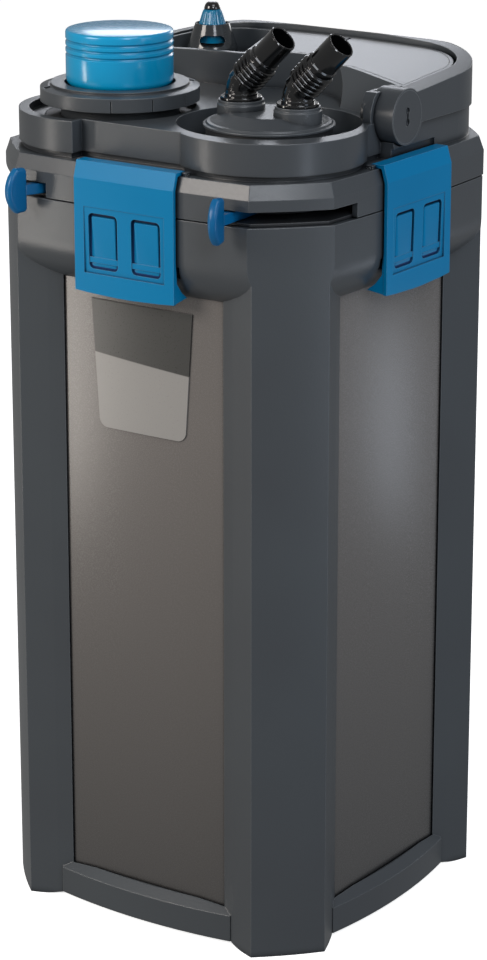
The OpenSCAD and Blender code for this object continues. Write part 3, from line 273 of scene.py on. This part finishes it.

# %% [markdown]
# ## Rubber, metal and foam
# EPDM rubber is matt and a little dusty, turned steel is bright with fine tool
# marks, and sintered ferrite is dull and grainy. The winding of the stator is
# enamelled copper, and a quartz tube holds the heater's wire. Filter foam is an
# open net of cells two millimetres wide. One Voronoi pattern makes them all: its
# cells are a quarter of a millimetre and hardly deep on steel, and wide and deep
# with walls that stand proud on foam.
# Its pits are painted darker than the walls, as painted shade.

# %% Rubber, metal and foam
def pitted(name, colour, shade, cell, relief, roughness, metallic=0.0, sheen=0.0, edge=0.4):
    """A surface of cells: colour on the walls, a darker tone in the pits as painted shade, cell
    in millimetres.
    """
    material, tree = empty_material(name)
    place = add_node(tree, "ShaderNodeTexCoord").outputs["Object"]
    cells = add_node(tree, "ShaderNodeTexVoronoi", {"feature": "F1", "Scale": 1 / (cell * mm)},
                     {"Vector": place}).outputs["Distance"]
    # painted shade: the pits, where the bump sinks, get the darker tone
    tint = add_node(tree, "ShaderNodeMix",
                    {"data_type": "RGBA", 6: linear(shade), 7: linear(colour)}, {0: cells})
    rounded = add_node(tree, "ShaderNodeBevel",
                       {"samples": 4, "Radius": edge * mm}).outputs["Normal"]
    rough_skin = add_node(tree, "ShaderNodeBump", {"Strength": 1.0, "Distance": relief * mm},
                          {"Height": cells, "Normal": rounded}).outputs["Normal"]
    shader = add_node(tree, "ShaderNodeBsdfPrincipled",
                      {"Roughness": roughness, "Metallic": metallic, "Sheen Weight": sheen},
                      {"Base Color": tint.outputs[2], "Normal": rough_skin})
    add_node(tree, "ShaderNodeOutputMaterial", {}, {"Surface": shader.outputs["BSDF"]})
    return material


epdm = pitted("EPDM rubber", "#262627", "#161617", 0.5, 0.05, 0.65, sheen=0.15)
steel = pitted("turned stainless steel", "#c9ccd0", "#a9acb0", 0.25, 0.01, 0.28, metallic=1.0)
copper = pitted("enamelled copper winding", "#c98652", "#8c4a25", 0.6, 0.15, 0.3,
                metallic=1.0)
ferrite = pitted("sintered ferrite", "#3a3a3e", "#242427", 0.8, 0.03, 0.45)
quartz = pitted("drawn quartz glass", "#9aa0a4", "#83898d", 4.0, 0.005, 0.08)
foam_blue = pitted("reticulated PU foam blue", "#5583ad", "#24425f", 2.2, 0.9, 0.9, sheen=0.2)
foam_yellow = pitted("reticulated PU foam yellow", "#d8c063", "#8c7430", 1.6, 0.7, 0.9,
                     sheen=0.2)
print("rubber, metals and foams:",
      [m.name for m in (epdm, steel, copper, ferrite, quartz, foam_blue, foam_yellow)])

# %% [markdown]
# ## The plate on the front panel
# The oblong plate is printed film under a clear varnish, left without any
# print. Its upper part is dark and its lower part lighter, with a soft arc
# between them, which a height gradient bent by the distance from the middle gives.

# %% Bare plate
def two_tone_film(name, upper, lower, border, sag, blur=0.3, fleck_size=0.8):
    """Varnished film: border is the arc's height in mm, sag how far it dips beside the middle."""
    material, tree = empty_material(name)
    place = add_node(tree, "ShaderNodeTexCoord").outputs["Object"]
    axes = add_node(tree, "ShaderNodeSeparateXYZ", {}, {"Vector": place})
    beside = add_node(tree, "ShaderNodeMath", {"operation": "MULTIPLY", 1: sag},
                      {0: axes.outputs["X"]}).outputs["Value"]
    height = add_node(tree, "ShaderNodeMath", {"operation": "ADD"},
                      {0: axes.outputs["Z"], 1: beside}).outputs["Value"]
    part = add_node(tree, "ShaderNodeMapRange",
                    {"From Min": (border - blur) * mm, "From Max": (border + blur) * mm},
                    {"Value": height}).outputs["Result"]
    tint = add_node(tree, "ShaderNodeMix",
                    {"data_type": "RGBA", 6: linear(lower), 7: linear(upper)}, {0: part})
    fleck = add_node(tree, "ShaderNodeTexNoise", {"Scale": 1 / (fleck_size * mm)},
                     {"Vector": place}).outputs["Fac"]
    glitter = add_node(tree, "ShaderNodeMapRange", {"To Min": 0.24, "To Max": 0.34},
                       {"Value": fleck}).outputs["Result"]
    shader = add_node(tree, "ShaderNodeBsdfPrincipled", {"IOR": 1.49, "Coat Weight": 0.2},
                      {"Base Color": tint.outputs[2], "Roughness": glitter})
    add_node(tree, "ShaderNodeOutputMaterial", {}, {"Surface": shader.outputs["BSDF"]})
    return material


plate_film = two_tone_film("varnished film two grey tones", "#3f3f3d", "#94928f", 362, 0.08)
print("plate:", plate_film.name)

# %% [markdown]
# ## Dress the solids
# Each solid keeps its mesh and gets the finish of the real piece.

# %% Dress the solids
finishes = {
    "outer_frame": body_abs, "foot_pads": epdm, "container": panel_abs, "container_seal": epdm,
    "badge_plate": plate_film, "head_housing": body_abs, "head_base": dark_pp,
    "base_screws": steel, "cover_left": cover_abs, "cover_right": cover_abs,
    "clip_front": clip_abs, "clip_right": clip_abs, "clip_back": clip_abs, "clip_left": clip_abs,
    "clip_pins": steel, "handle": body_abs, "handle_caps": body_abs, "handle_pins": steel,
    "prefilter_ring": dark_pp, "prefilter_lever": lever_pom, "hose_ring": dark_pp,
    "hose_lever": lever_pom, "prefilter_cap": body_abs, "priming_plunger": plunger_abs,
    "plunger_seal": epdm, "priming_spring": steel, "prefilter_head": dark_pp,
    "prefilter_pipe": dark_pp, "prefilter_foams": foam_blue, "prefilter_cage": dark_pp,
    "hose_block": dark_pp, "hose_seals": epdm, "hose_dome": body_abs, "port_collars": body_abs,
    "elbow_left": elbow_san, "elbow_right": elbow_san, "heater_housing": smoky_pc,
    "heater_dial": dial_pc, "heater_cap": elbow_san, "heater_rod": quartz, "heater_seal": epdm,
    "cable_glands": epdm, "motor_housing": dark_pp, "stator_coil": copper,
    "rotor_magnet": ferrite, "rotor_shaft": white_pps, "shaft_bushes": epdm,
    "impeller": white_pps, "volute": dark_pp,
    "media_tray_1": dark_pp, "media_tray_2": dark_pp, "media_tray_3": dark_pp,
    "media_tray_4": dark_pp, "filter_foam_1": foam_blue, "filter_foam_2": foam_yellow,
    "filter_foam_3": foam_blue, "filter_foam_4": foam_yellow,
}
for name, solid in nodes.items():
    solid.data.materials.clear()
    solid.data.materials.append(finishes[name])
print("dressed:", len(finishes), "solids")

# %% [markdown]
# ## Helpers for the new pieces
# A piece is shaped in millimetres about its own axis, moved to its place inside
# the mesh, and then rides on the body that carries it. Turned pieces are spun
# from half an outline. Where an edge size is given, a small Bevel modifier gives
# every hard edge its radius.

# %% Piece helpers
def finish_piece(name, bm, material, body, solids, edge=0, segments=2, sharp=35,
                 second=None):
    """Turn a bmesh in millimetres to an object that rides on a body and stands for solids.

    Faces whose material_index is 1 get the second material.
    """
    bmesh.ops.remove_doubles(bm, verts=bm.verts, dist=0.001)
    bmesh.ops.recalc_face_normals(bm, faces=bm.faces)
    bmesh.ops.transform(bm, matrix=Matrix.Scale(mm, 4), verts=bm.verts)
    mesh = bpy.data.meshes.new(name)
    bm.to_mesh(mesh)
    bm.free()
    mesh.shade_smooth()
    mesh.set_sharp_from_angle(angle=math.radians(sharp))
    mesh.materials.append(material)
    if second:
        mesh.materials.append(second)
    piece = bpy.data.objects.new(name, mesh)
    bpy.context.scene.collection.objects.link(piece)
    if edge:
        bevel = piece.modifiers.new("edge radius", "BEVEL")
        bevel.width, bevel.segments, bevel.limit_method = edge * mm, segments, "ANGLE"
        bevel.angle_limit = math.radians(30)
        bevel.harden_normals = True
    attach(piece, body)
    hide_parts(*solids)
    print(name, "rides on", body, "with", len(mesh.polygons), "faces")
    return piece


def lathe(bm, outline, steps):
    """Spin a closed outline of (radius, height) about the upright axis."""
    ring = [bm.verts.new((r, 0, z)) for r, z in outline]
    edges = [bm.edges.new(pair) for pair in zip(ring, ring[1:] + ring[:1])]
    bmesh.ops.spin(bm, geom=ring + edges, cent=(0, 0, 0), axis=(0, 0, 1),
                   angle=2 * math.pi, steps=steps, use_merge=True)


def shift(bm, x=0.0, y=0.0, z=0.0, verts=None):
    """Move the whole piece or some of its vertices, in millimetres."""
    bmesh.ops.translate(bm, vec=(x, y, z), verts=verts or list(bm.verts))


def turn(bm, degrees, axis, verts=None):
    """Turn the whole piece or some of its vertices about an axis through the origin."""
    bmesh.ops.rotate(bm, cent=(0, 0, 0), verts=verts or list(bm.verts),
                     matrix=Matrix.Rotation(math.radians(degrees), 3, axis))


def made_of(parts, kind):
    """The vertices, edges or faces among the parts that an operator reports."""
    return [part for part in parts if isinstance(part, kind)]


def thicken(bm, face, x=0.0, y=0.0, z=0.0):
    """Extrude one flat face by a distance in millimetres."""
    made = bmesh.ops.extrude_face_region(bm, geom=[face])["geom"]
    shift(bm, x, y, z, verts=made_of(made, bmesh.types.BMVert))


print("helpers ready")

# %% [markdown]
# ## Priming plunger
# Pressed a few times, this blue cup draws the water over the first time. It is
# a deep-drawn looking moulding with three shallow grip grooves and a flat top.
# Half its section is spun: the grooves are rounded dips, and the skirt is hollow.

# %% Priming plunger
prefilter_place = (-53.4, -55.7)
plunger_top, plunger_r, plunger_roof = 550.9, 32.6, 547.9
skirt_foot, skirt_r, skirt_bore = 475.5, 28, 25


def groove_points(z, radius, depth=0.9, width=2.2):
    """A rounded dip in the wall, from below upwards."""
    return [(radius - depth * math.sin(math.pi * i / 6), z + width * i / 6) for i in range(7)]


wall = [(skirt_r, skirt_foot), (skirt_r, 517.6), (30.2, 517.6), (31.4, 518.6), (32.2, 520.2),
        (plunger_r, 522)]
for lift in (-15.2, -11.2, -7.2):
    wall += groove_points(plunger_top + lift, plunger_r)
wall += [(plunger_r, 549.3), (32.35, 550.1), (31.8, 550.65), (31, plunger_top),
         (0, plunger_top), (0, plunger_roof), (skirt_bore, plunger_roof),
         (skirt_bore, skirt_foot)]
bm = bmesh.new()
lathe(bm, wall, steps=160)
shift(bm, *prefilter_place)
finish_piece("plunger_cup", bm, plunger_abs, "plunger", ["priming_plunger"])

# %% [markdown]
# ## Priming spring
# A helical spring under the plunger pushes it back up. Its wire is one small
# circle spun nine times while it rises, from the foot to the top of the solid
# that it stands for. Here it is drawn at rest; the real one shortens with the plunger's stroke.

# %% Priming spring
spring_node = nodes["priming_spring"]
spring_heights = [(spring_node.matrix_world @ v.co).z / mm for v in spring_node.data.vertices]
spring_low, spring_high = min(spring_heights), max(spring_heights)
spring_length = spring_high - spring_low
wire_r, coil_r, turns, steps_per_turn, stroke = 0.9, 10.0, 9, 24, 24.0
bm = bmesh.new()
wire = bmesh.ops.create_circle(bm, segments=8, radius=wire_r, cap_ends=False)["verts"]
turn(bm, 90, "X", verts=wire)
shift(bm, x=coil_r, z=spring_low + wire_r)
bmesh.ops.spin(bm, geom=list(bm.verts) + list(bm.edges), cent=(0, 0, 0), axis=(0, 0, 1),
               dvec=(0, 0, (spring_length - 2 * wire_r) / (turns * steps_per_turn)),
               angle=2 * math.pi * turns, steps=turns * steps_per_turn)
bmesh.ops.holes_fill(bm, edges=[e for e in bm.edges if e.is_boundary], sides=0)
shift(bm, *prefilter_place)
spring = finish_piece("coil_spring", bm, steel, "canister", ["priming_spring"])
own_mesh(spring)
print("the spring is", round(spring_length, 1), "mm long at rest")

# %% [markdown]
# ## Heater dial and cap
# The dial is turned to the wanted temperature. Eighteen flutes run up its
# flank so that wet fingers hold it. The section is spun first, and then each
# point of the flank is drawn in by its angle. Heights count from the floor of
# the recess that the heater stands in.

# %% Heater dial and cap
heater_place, floor_z, dial_bore = (-74, 71), 514.5, 2.8
flutes, flute_depth, flute_foot, flute_top = 18, 0.05, 19, 29
dial = [(dial_bore, 9), (9.3, 9), (9.3, 18), (8.6, 20.6)]
dial += [(8.5 - 0.31 * i, 21 + i) for i in range(1, 8)]
dial += [(6.0, 28.7), (5.4, 29.5), (4.9, 29.7), (dial_bore, 29.7)]
bm = bmesh.new()
lathe(bm, [(r, floor_z + h) for r, h in dial], steps=144)
for v in bm.verts:
    if math.hypot(v.co.x, v.co.y) > 4 and floor_z + flute_foot < v.co.z < floor_z + flute_top:
        wave = abs(math.cos(flutes / 2 * math.atan2(v.co.y, v.co.x)))
        flute = 1 + flute_depth * (wave - 1)
        v.co.x *= flute
        v.co.y *= flute
shift(bm, *heater_place)
finish_piece("temperature_dial", bm, dial_pc, "heater_dial", ["heater_dial"])

button = [(0, 8.7), (2.5, 8.7), (2.5, 30), (5.2, 30), (5.15, 30.8), (4.7, 32.2), (3.9, 33.5),
          (2.8, 34.2), (1.4, 34.45), (0, 34.5)]
bm = bmesh.new()
lathe(bm, [(r, floor_z + h) for r, h in button], steps=64)
shift(bm, *heater_place)
finish_piece("heater_button", bm, elbow_san, "canister", ["heater_cap"])

# %% [markdown]
# ## Hose elbows
# Each elbow stands in a collar with its flange, turns by 45 degrees and ends in
# a plain spigot for the hose. Five rounded ribs stiffen the bend. The foot and
# the spigot are spun, and the bend between them is a ring spun by an eighth of a
# turn about an axis beside the pipe.

# %% Hose elbows
def ribbed_spigot(outer, bore, length, ribs, pitch, first):
    """Half section of the spigot along its own axis, ribs as rounded rings."""
    sleeve, rib_rise, rib_width = outer + 0.7, 1.5, 2.0
    points = [(bore, 1.0), (sleeve, 1.0), (sleeve, first - 1.2)]
    for i in range(ribs):
        start = first + i * pitch
        points += [(sleeve + rib_rise * math.sin(math.pi * k / 6), start + rib_width * k / 6)
                   for k in range(7)]
    after = first + ribs * pitch + 0.4
    return points + [(outer + 0.9, after), (outer + 0.9, after + 2.2), (outer, after + 2.9),
                     (outer, length - 0.5), (outer - 0.4, length), (bore + 0.3, length),
                     (bore, length - 0.4)]


def hose_elbow(name, body, solid, x, y):
    """The whole elbow on the port at x, y."""
    bend_z, bend_r, tilt = 526.5, 12.0, 45
    pipe_r, pipe_bore, neck_r = 9.3, 6.2, 9.9
    foot_z, foot_r, flange_z, flange_r = 500.9, 7.8, 517.9, 12.5
    bm = bmesh.new()
    # spigot, tilted towards +X
    lathe(bm, ribbed_spigot(outer=8.6, bore=7.4, length=42.1, ribs=5, pitch=3.1, first=6.2),
          steps=72)
    turn(bm, tilt, "Y")
    shift(bm, z=bend_z)
    # bend: an outer and an inner ring spun about an axis beside the pipe
    start = bend_z - bend_r * math.tan(math.radians(tilt) / 2)
    rings = []
    for radius in (pipe_r, pipe_bore):
        ring = bmesh.ops.create_circle(bm, segments=48, radius=radius)["verts"]
        shift(bm, z=start, verts=ring)
        first = [e for e in bm.edges if e.verts[0] in ring and e.verts[1] in ring]
        end = bmesh.ops.spin(bm, geom=ring + first, cent=(bend_r, 0, start), axis=(0, 1, 0),
                             angle=math.radians(tilt), steps=10)["geom_last"]
        rings.append((first, made_of(end, bmesh.types.BMEdge)))
    for outer_loop, inner_loop in zip(*rings):
        bmesh.ops.bridge_loops(bm, edges=outer_loop + inner_loop)
    # foot with its flange and the twelve-sided neck
    lathe(bm, [(pipe_bore, foot_z), (foot_r, foot_z), (foot_r, flange_z), (12.1, flange_z),
               (flange_r, 518.3), (flange_r, 519.3), (12.1, 519.8), (neck_r, 519.8),
               (neck_r, start), (pipe_bore, start)], steps=72)
    neck = bmesh.ops.create_cone(bm, segments=12, radius1=neck_r, radius2=9.4, depth=2.6,
                                 cap_ends=True)["verts"]
    shift(bm, z=start + 0.6, verts=neck)
    shift(bm, x, y)
    finish_piece(name, bm, elbow_san, body, [solid])


hose_place, port_left, port_right = (56.2, -56.8), 36.2, 76.2
hose_elbow("hose_elbow_left", "elbow_left", "elbow_left", port_left, hose_place[1])
hose_elbow("hose_elbow_right", "elbow_right", "elbow_right", port_right, hose_place[1])

# %% [markdown]
# ## Lever grips
# A sixth of a turn of a lever locks or frees the unit that stands in the head.
# The grip is a flat paddle with a full rounding, and a short arm leads through
# the slot to the ring inside. The paddle starts as one face, is extruded to its
# thickness and beveled all round.

# %% Levers
def lever_piece(name, body, solid, place, ring_r, grip_turn, arm_turn):
    """Paddle and arm, turned about the ring's axis at a place. Angles in degrees."""
    lever_z, lever_t, paddle_t = 459.5, 6.4, 5.8
    grip_in, grip_depth, round_r, round_half = 73.5, 14, 17.36, 52
    bm = bmesh.new()
    outline = []
    for k in range(17):
        a = math.radians(-round_half + 2 * round_half * k / 16)
        outline.append((grip_in + grip_depth - round_r + round_r * math.cos(a),
                        round_r * math.sin(a)))
    outline += [(grip_in + 1.2, 13.2), (grip_in, 11.6), (grip_in, -11.6), (grip_in + 1.2, -13.2)]
    thicken(bm, bm.faces.new([bm.verts.new((u, -paddle_t / 2, lever_z + lever_t / 2 + w))
                              for u, w in outline]), y=paddle_t)
    bmesh.ops.recalc_face_normals(bm, faces=bm.faces)
    rims = [e for e in bm.edges if abs(e.verts[0].co.y - e.verts[1].co.y) < 1e-5]
    bmesh.ops.bevel(bm, geom=rims, offset=2.2, segments=5, profile=0.5, affect="EDGES",
                    material=-1, clamp_overlap=True)
    turn(bm, grip_turn, "Z")

    arm_in, arm_out = ring_r + 4.2, grip_in + 1.5
    arm = [(arm_in, arm_turn - 3.2), (arm_in + 0.5, arm_turn), (arm_in, arm_turn + 3.2),
           (arm_out, grip_turn + 2.1), (arm_out, grip_turn - 2.1)]
    thicken(bm, bm.faces.new([bm.verts.new((r * math.cos(math.radians(a)),
                                            r * math.sin(math.radians(a)), lever_z))
                              for r, a in arm]), z=lever_t)
    shift(bm, *place)
    finish_piece(name, bm, lever_pom, body, [solid], edge=0.5)


lever_piece("hose_unit_lever", "hose_lever", "hose_lever", hose_place, 35.4, -78, -68.8)
lever_piece("prefilter_unit_lever", "prefilter_lever", "prefilter_lever", prefilter_place,
            45.6, -104.3, -100)

# %% [markdown]
# ## Clips
# Four folded clips pull the head down on its seal. Each starts as one strip of
# the side view, extruded sideways in the columns that its windows need, and is
# solidified to the thickness of the plate. Then the faces of the field and of
# the two finger windows are pushed in, but less than the plate is thick, so that
# it stays closed. The corners of a window are rounded with a bevel. Its floor is
# inset, the ring round it is painted the deeper blue as painted shade, and its
# middle is raised again to a tongue that leans inwards towards the lower edge.

# %% Clip sizes
clip_half, clip_thick, clip_face = 36, 2.3, 125.7
clip_top, clip_foot = 484.3, 404.9
field_half, field_foot, field_top = 29, 417.8, 457.6
windows, window_foot, window_top = ((-26, -5), (5, 26)), 420.5, 454.0
print("a clip is", 2 * clip_half, "mm wide and", round(clip_top - clip_foot, 1), "mm high")

# %% Clip helpers
def outer_faces(bm, x0, x1, z0, z1):
    """Faces of the clip's front that lie within x0..x1 and z0..z1."""
    return [f for f in bm.faces if f.normal.y < -0.8
            and f.calc_center_median().y < -124
            and x0 < f.calc_center_median().x < x1 and z0 < f.calc_center_median().z < z1]


def push_in(bm, faces, depth):
    """Extrude faces inwards to a depth that depends on the height."""
    made = bmesh.ops.extrude_face_region(bm, geom=faces)["geom"]
    bmesh.ops.delete(bm, geom=[f for f in faces if f.is_valid], context="FACES")
    for v in made_of(made, bmesh.types.BMVert):
        v.co.y += depth(v.co.z)
    bm.normal_update()


def window_corners(bm, x0, x1):
    """The four edges that lead inwards at the corners of a window."""
    found = []
    for e in bm.edges:
        near, far = e.verts[0].co, e.verts[1].co
        inwards = abs(near.x - far.x) < 0.01 and abs(near.z - far.z) < 0.01
        in_window = x0 - 0.1 < near.x < x1 + 0.1 and -126 < near.y < -123.5
        at_end = min(abs(near.z - z) for z in (window_foot, window_top)) < 0.1
        clear_corner = e.calc_length() > 0.5 and e.calc_face_angle(0) > 1
        if inwards and in_window and at_end and clear_corner:
            found.append(e)
    return found


# %% Window
def make_window(bm, x0, x1):
    """Push in one finger window, round its corners and raise its tongue."""
    push_in(bm, outer_faces(bm, x0, x1, window_foot, window_top),
            lambda z: 1.0 + 0.75 * (z - window_foot) / (window_top - window_foot))
    corners = window_corners(bm, x0, x1)
    bmesh.ops.bevel(bm, geom=corners, offset=3.0, segments=5, profile=0.5, affect="EDGES")
    bm.normal_update()
    floor_limit, tongue_foot, tongue_height = -124.2, 422.6, 29.3
    floor = [f for f in bm.faces if f.normal.y < -0.8 and f.calc_area() > 300
             and x0 < f.calc_center_median().x < x1 and f.calc_center_median().y > floor_limit]
    # the ring round the floor gets the darker blue: painted shade for the missing depth
    for f in bmesh.ops.inset_region(bm, faces=floor, thickness=1.5, depth=0)["faces"]:
        f.material_index = 1
    bm.normal_update()
    for step, rise in ((0.15, 0.55), (0.5, 0.45)):
        bmesh.ops.inset_region(bm, faces=floor, thickness=step, depth=0)
        for v in {v for f in floor for v in f.verts}:
            low = 1 - (v.co.z - tongue_foot) / tongue_height
            v.co.y -= rise * (1.4 - low)
            if v.co.x < (x0 + x1) / 2:
                v.co.x += 0.2 + 1.3 * low
            v.co.z += 1.1 * low
    print("window at", x0, "corners rounded:", len(corners), "tongues:", len(floor))


# %% Clips
def clip_plate():
    """The folded plate with its field, windows and tongues, facing -Y."""
    rows = [(115.2, clip_top), (122.7, clip_top), (clip_face, 474.1), (clip_face, field_top),
            (clip_face, window_top), (clip_face, window_foot), (clip_face, field_foot),
            (clip_face, clip_foot)]
    columns = [-clip_half, -field_half, *windows[0], *windows[1], field_half, clip_half]
    bm = bmesh.new()
    strip = [bm.verts.new((columns[0], -u, z)) for u, z in rows]
    line = [bm.edges.new(pair) for pair in zip(strip, strip[1:])]
    for near, far in zip(columns, columns[1:]):
        made = bmesh.ops.extrude_edge_only(bm, edges=line)["geom"]
        shift(bm, x=far - near, verts=made_of(made, bmesh.types.BMVert))
        line = made_of(made, bmesh.types.BMEdge)
    bmesh.ops.reverse_faces(bm, faces=bm.faces)
    bmesh.ops.solidify(bm, geom=list(bm.faces), thickness=clip_thick)
    bm.normal_update()
    push_in(bm, outer_faces(bm, -field_half, field_half, field_foot, field_top),
            lambda z: 1.1 - 0.8 * (z - field_foot) / (field_top - field_foot))
    for x0, x1 in windows:
        make_window(bm, x0, x1)
    # the lower edge is a shallow arc
    arc_r = 400
    for v in bm.verts:
        if v.co.z < clip_foot + 0.6:
            v.co.z += arc_r - math.sqrt(arc_r ** 2 - v.co.x ** 2)
    return bm


def clip(name, body, solid, side_turn):
    """Plate, flanges, hinge barrel and hook, turned to their side of the head."""
    bm = clip_plate()
    flange = [(125.3, 432.5), (125.3, 406.6), (112.7, 408.3), (111.3, 407.9), (117.3, 412.5),
              (122.1, 418.5), (122.4, 424.5), (123.3, 432.5)]
    flange_t, pin_r, barrel_r, hinge_y, hinge_z = 1.9, 1.31, 2.5, -114.8, 481.8
    hook_size, hook_y, hook_z = (64, 4.3, 3.4), -122.15, 425.8
    for x in (-35.8, 33.9):
        thicken(bm, bm.faces.new([bm.verts.new((x, -u, z)) for u, z in flange]), x=flange_t)
    kept = set(bm.verts)
    lathe(bm, [(pin_r, -clip_half), (barrel_r, -clip_half), (barrel_r, clip_half),
               (pin_r, clip_half)], steps=32)
    barrel = [v for v in bm.verts if v not in kept]
    turn(bm, 90, "Y", verts=barrel)
    shift(bm, y=hinge_y, z=hinge_z, verts=barrel)
    hook = bmesh.ops.create_cube(bm, size=1)["verts"]
    bmesh.ops.scale(bm, vec=hook_size, verts=hook)
    shift(bm, y=hook_y, z=hook_z, verts=hook)
    turn(bm, side_turn, "Z")
    finish_piece(name, bm, clip_abs, body, [solid], edge=0.6, segments=3,
                 sharp=12, second=pocket_shade_abs)


for side, side_turn in (("front", 0), ("right", 90), ("back", 180), ("left", 270)):
    clip("clip_plate_" + side, "clip_" + side, "clip_" + side, side_turn)

# %% [markdown]
# ## Studio
# A pale floor that runs far back and nine soft lights. The warm key stands in
# front. Three narrow strips stand low and close to the filter, because an upright
# glossy wall mirrors what lies below the eye: they draw the light lines on the
# panels and on the edges of the pillars. A cool fill stands at the right and a white
# one at the rear. One light behind the head gives the flat tops their sheen, and
# two higher ones light the sloping edges. The lamps themselves aren't seen. The
# room is white to the eye above the floor's horizon, but lights the filter dimly.
# The floor throws no light back on the filter, so its walls keep their depth.

# %% Floor
floor_reach = 40
floor_mesh = bpy.data.meshes.new("studio_floor")
bm = bmesh.new()
bmesh.ops.create_grid(bm, x_segments=1, y_segments=1, size=floor_reach)
bm.to_mesh(floor_mesh)
bm.free()
floor_object = bpy.data.objects.new("studio_floor", floor_mesh)
bpy.context.scene.collection.objects.link(floor_object)
floor_object.visible_diffuse = floor_object.visible_glossy = False
floor_paper, tree = empty_material("matt white paper floor")
shader = add_node(tree, "ShaderNodeBsdfPrincipled",
                  {"Base Color": linear("#e9e9e9"), "Roughness": 0.9,
                   "Emission Color": linear("#ffffff"), "Emission Strength": 0.8})
add_node(tree, "ShaderNodeOutputMaterial", {}, {"Surface": shader.outputs["BSDF"]})
floor_mesh.materials.append(floor_paper)
print("floor:", floor_paper.name)

# %% Lights
def softbox(name, place, aim, width, height, power, colour):
    """A soft rectangular light at a place, aimed at a point, both in metres."""
    light = bpy.data.lights.new(name, "AREA")
    light.shape, light.size, light.size_y, light.energy = "RECTANGLE", width, height, power
    light.color = linear(colour)[:3]
    lamp = bpy.data.objects.new(name, light)
    lamp.location = place
    lamp.rotation_euler = (Vector(place) - Vector(aim)).to_track_quat("Z", "Y").to_euler()
    bpy.context.scene.collection.objects.link(lamp)
    lamp.visible_camera = False


softbox("key_front", (-0.9, -1.9, 1.3), (0, 0, 0.3), 0.9, 0.9, 26, "#fff6ee")
softbox("strip_left", (-0.63, -0.66, 0.2), (0, -0.1, 0.28), 0.1, 0.36, 1.2, "#fff8f0")
softbox("strip_right", (0.92, -0.25, 0.18), (0.1, 0, 0.25), 0.1, 0.3, 0.7, "#e6f0ff")
softbox("strip_back", (0.54, 0.68, 0.09), (0.1, 0, 0.28), 0.08, 0.16, 0.15, "#e6f0ff")
softbox("slope_light", (1.49, -1.24, 1.36), (0, 0, 0.45), 0.5, 0.5, 8, "#f4f8ff")
softbox("side_right", (2.1, 0.1, 0.9), (0, 0, 0.3), 0.8, 0.8, 5, "#dcebff")
softbox("behind", (-1.02, 1.52, 1.2), (0, 0, 0.53), 0.6, 0.4, 3.2, "#f2f6ff")
softbox("rear_fill", (-0.3, 2.3, 0.8), (0, 0, 0.3), 0.9, 0.9, 8, "#ffffff")
softbox("overhead", (1.15, -0.65, 2.1), (0, 0, 0.4), 1.0, 1.0, 12, "#f4f8ff")

# %% Room
room_light, seen_white = 0.24, 1.0
world = bpy.data.worlds.new("soft white room")
world.use_nodes = True
world.node_tree.nodes.clear()
dim, bright = [add_node(world.node_tree, "ShaderNodeBackground",
                        {"Color": linear("#ffffff"), "Strength": strength})
               for strength in (room_light, seen_white)]
ray = add_node(world.node_tree, "ShaderNodeLightPath")
room = add_node(world.node_tree, "ShaderNodeMixShader", {}, {0: ray.outputs["Is Camera Ray"],
                1: dim.outputs["Background"], 2: bright.outputs["Background"]})
add_node(world.node_tree, "ShaderNodeOutputWorld", {}, {"Surface": room.outputs["Shader"]})
bpy.context.scene.world = world
bpy.context.scene.view_settings.view_transform = "Standard"
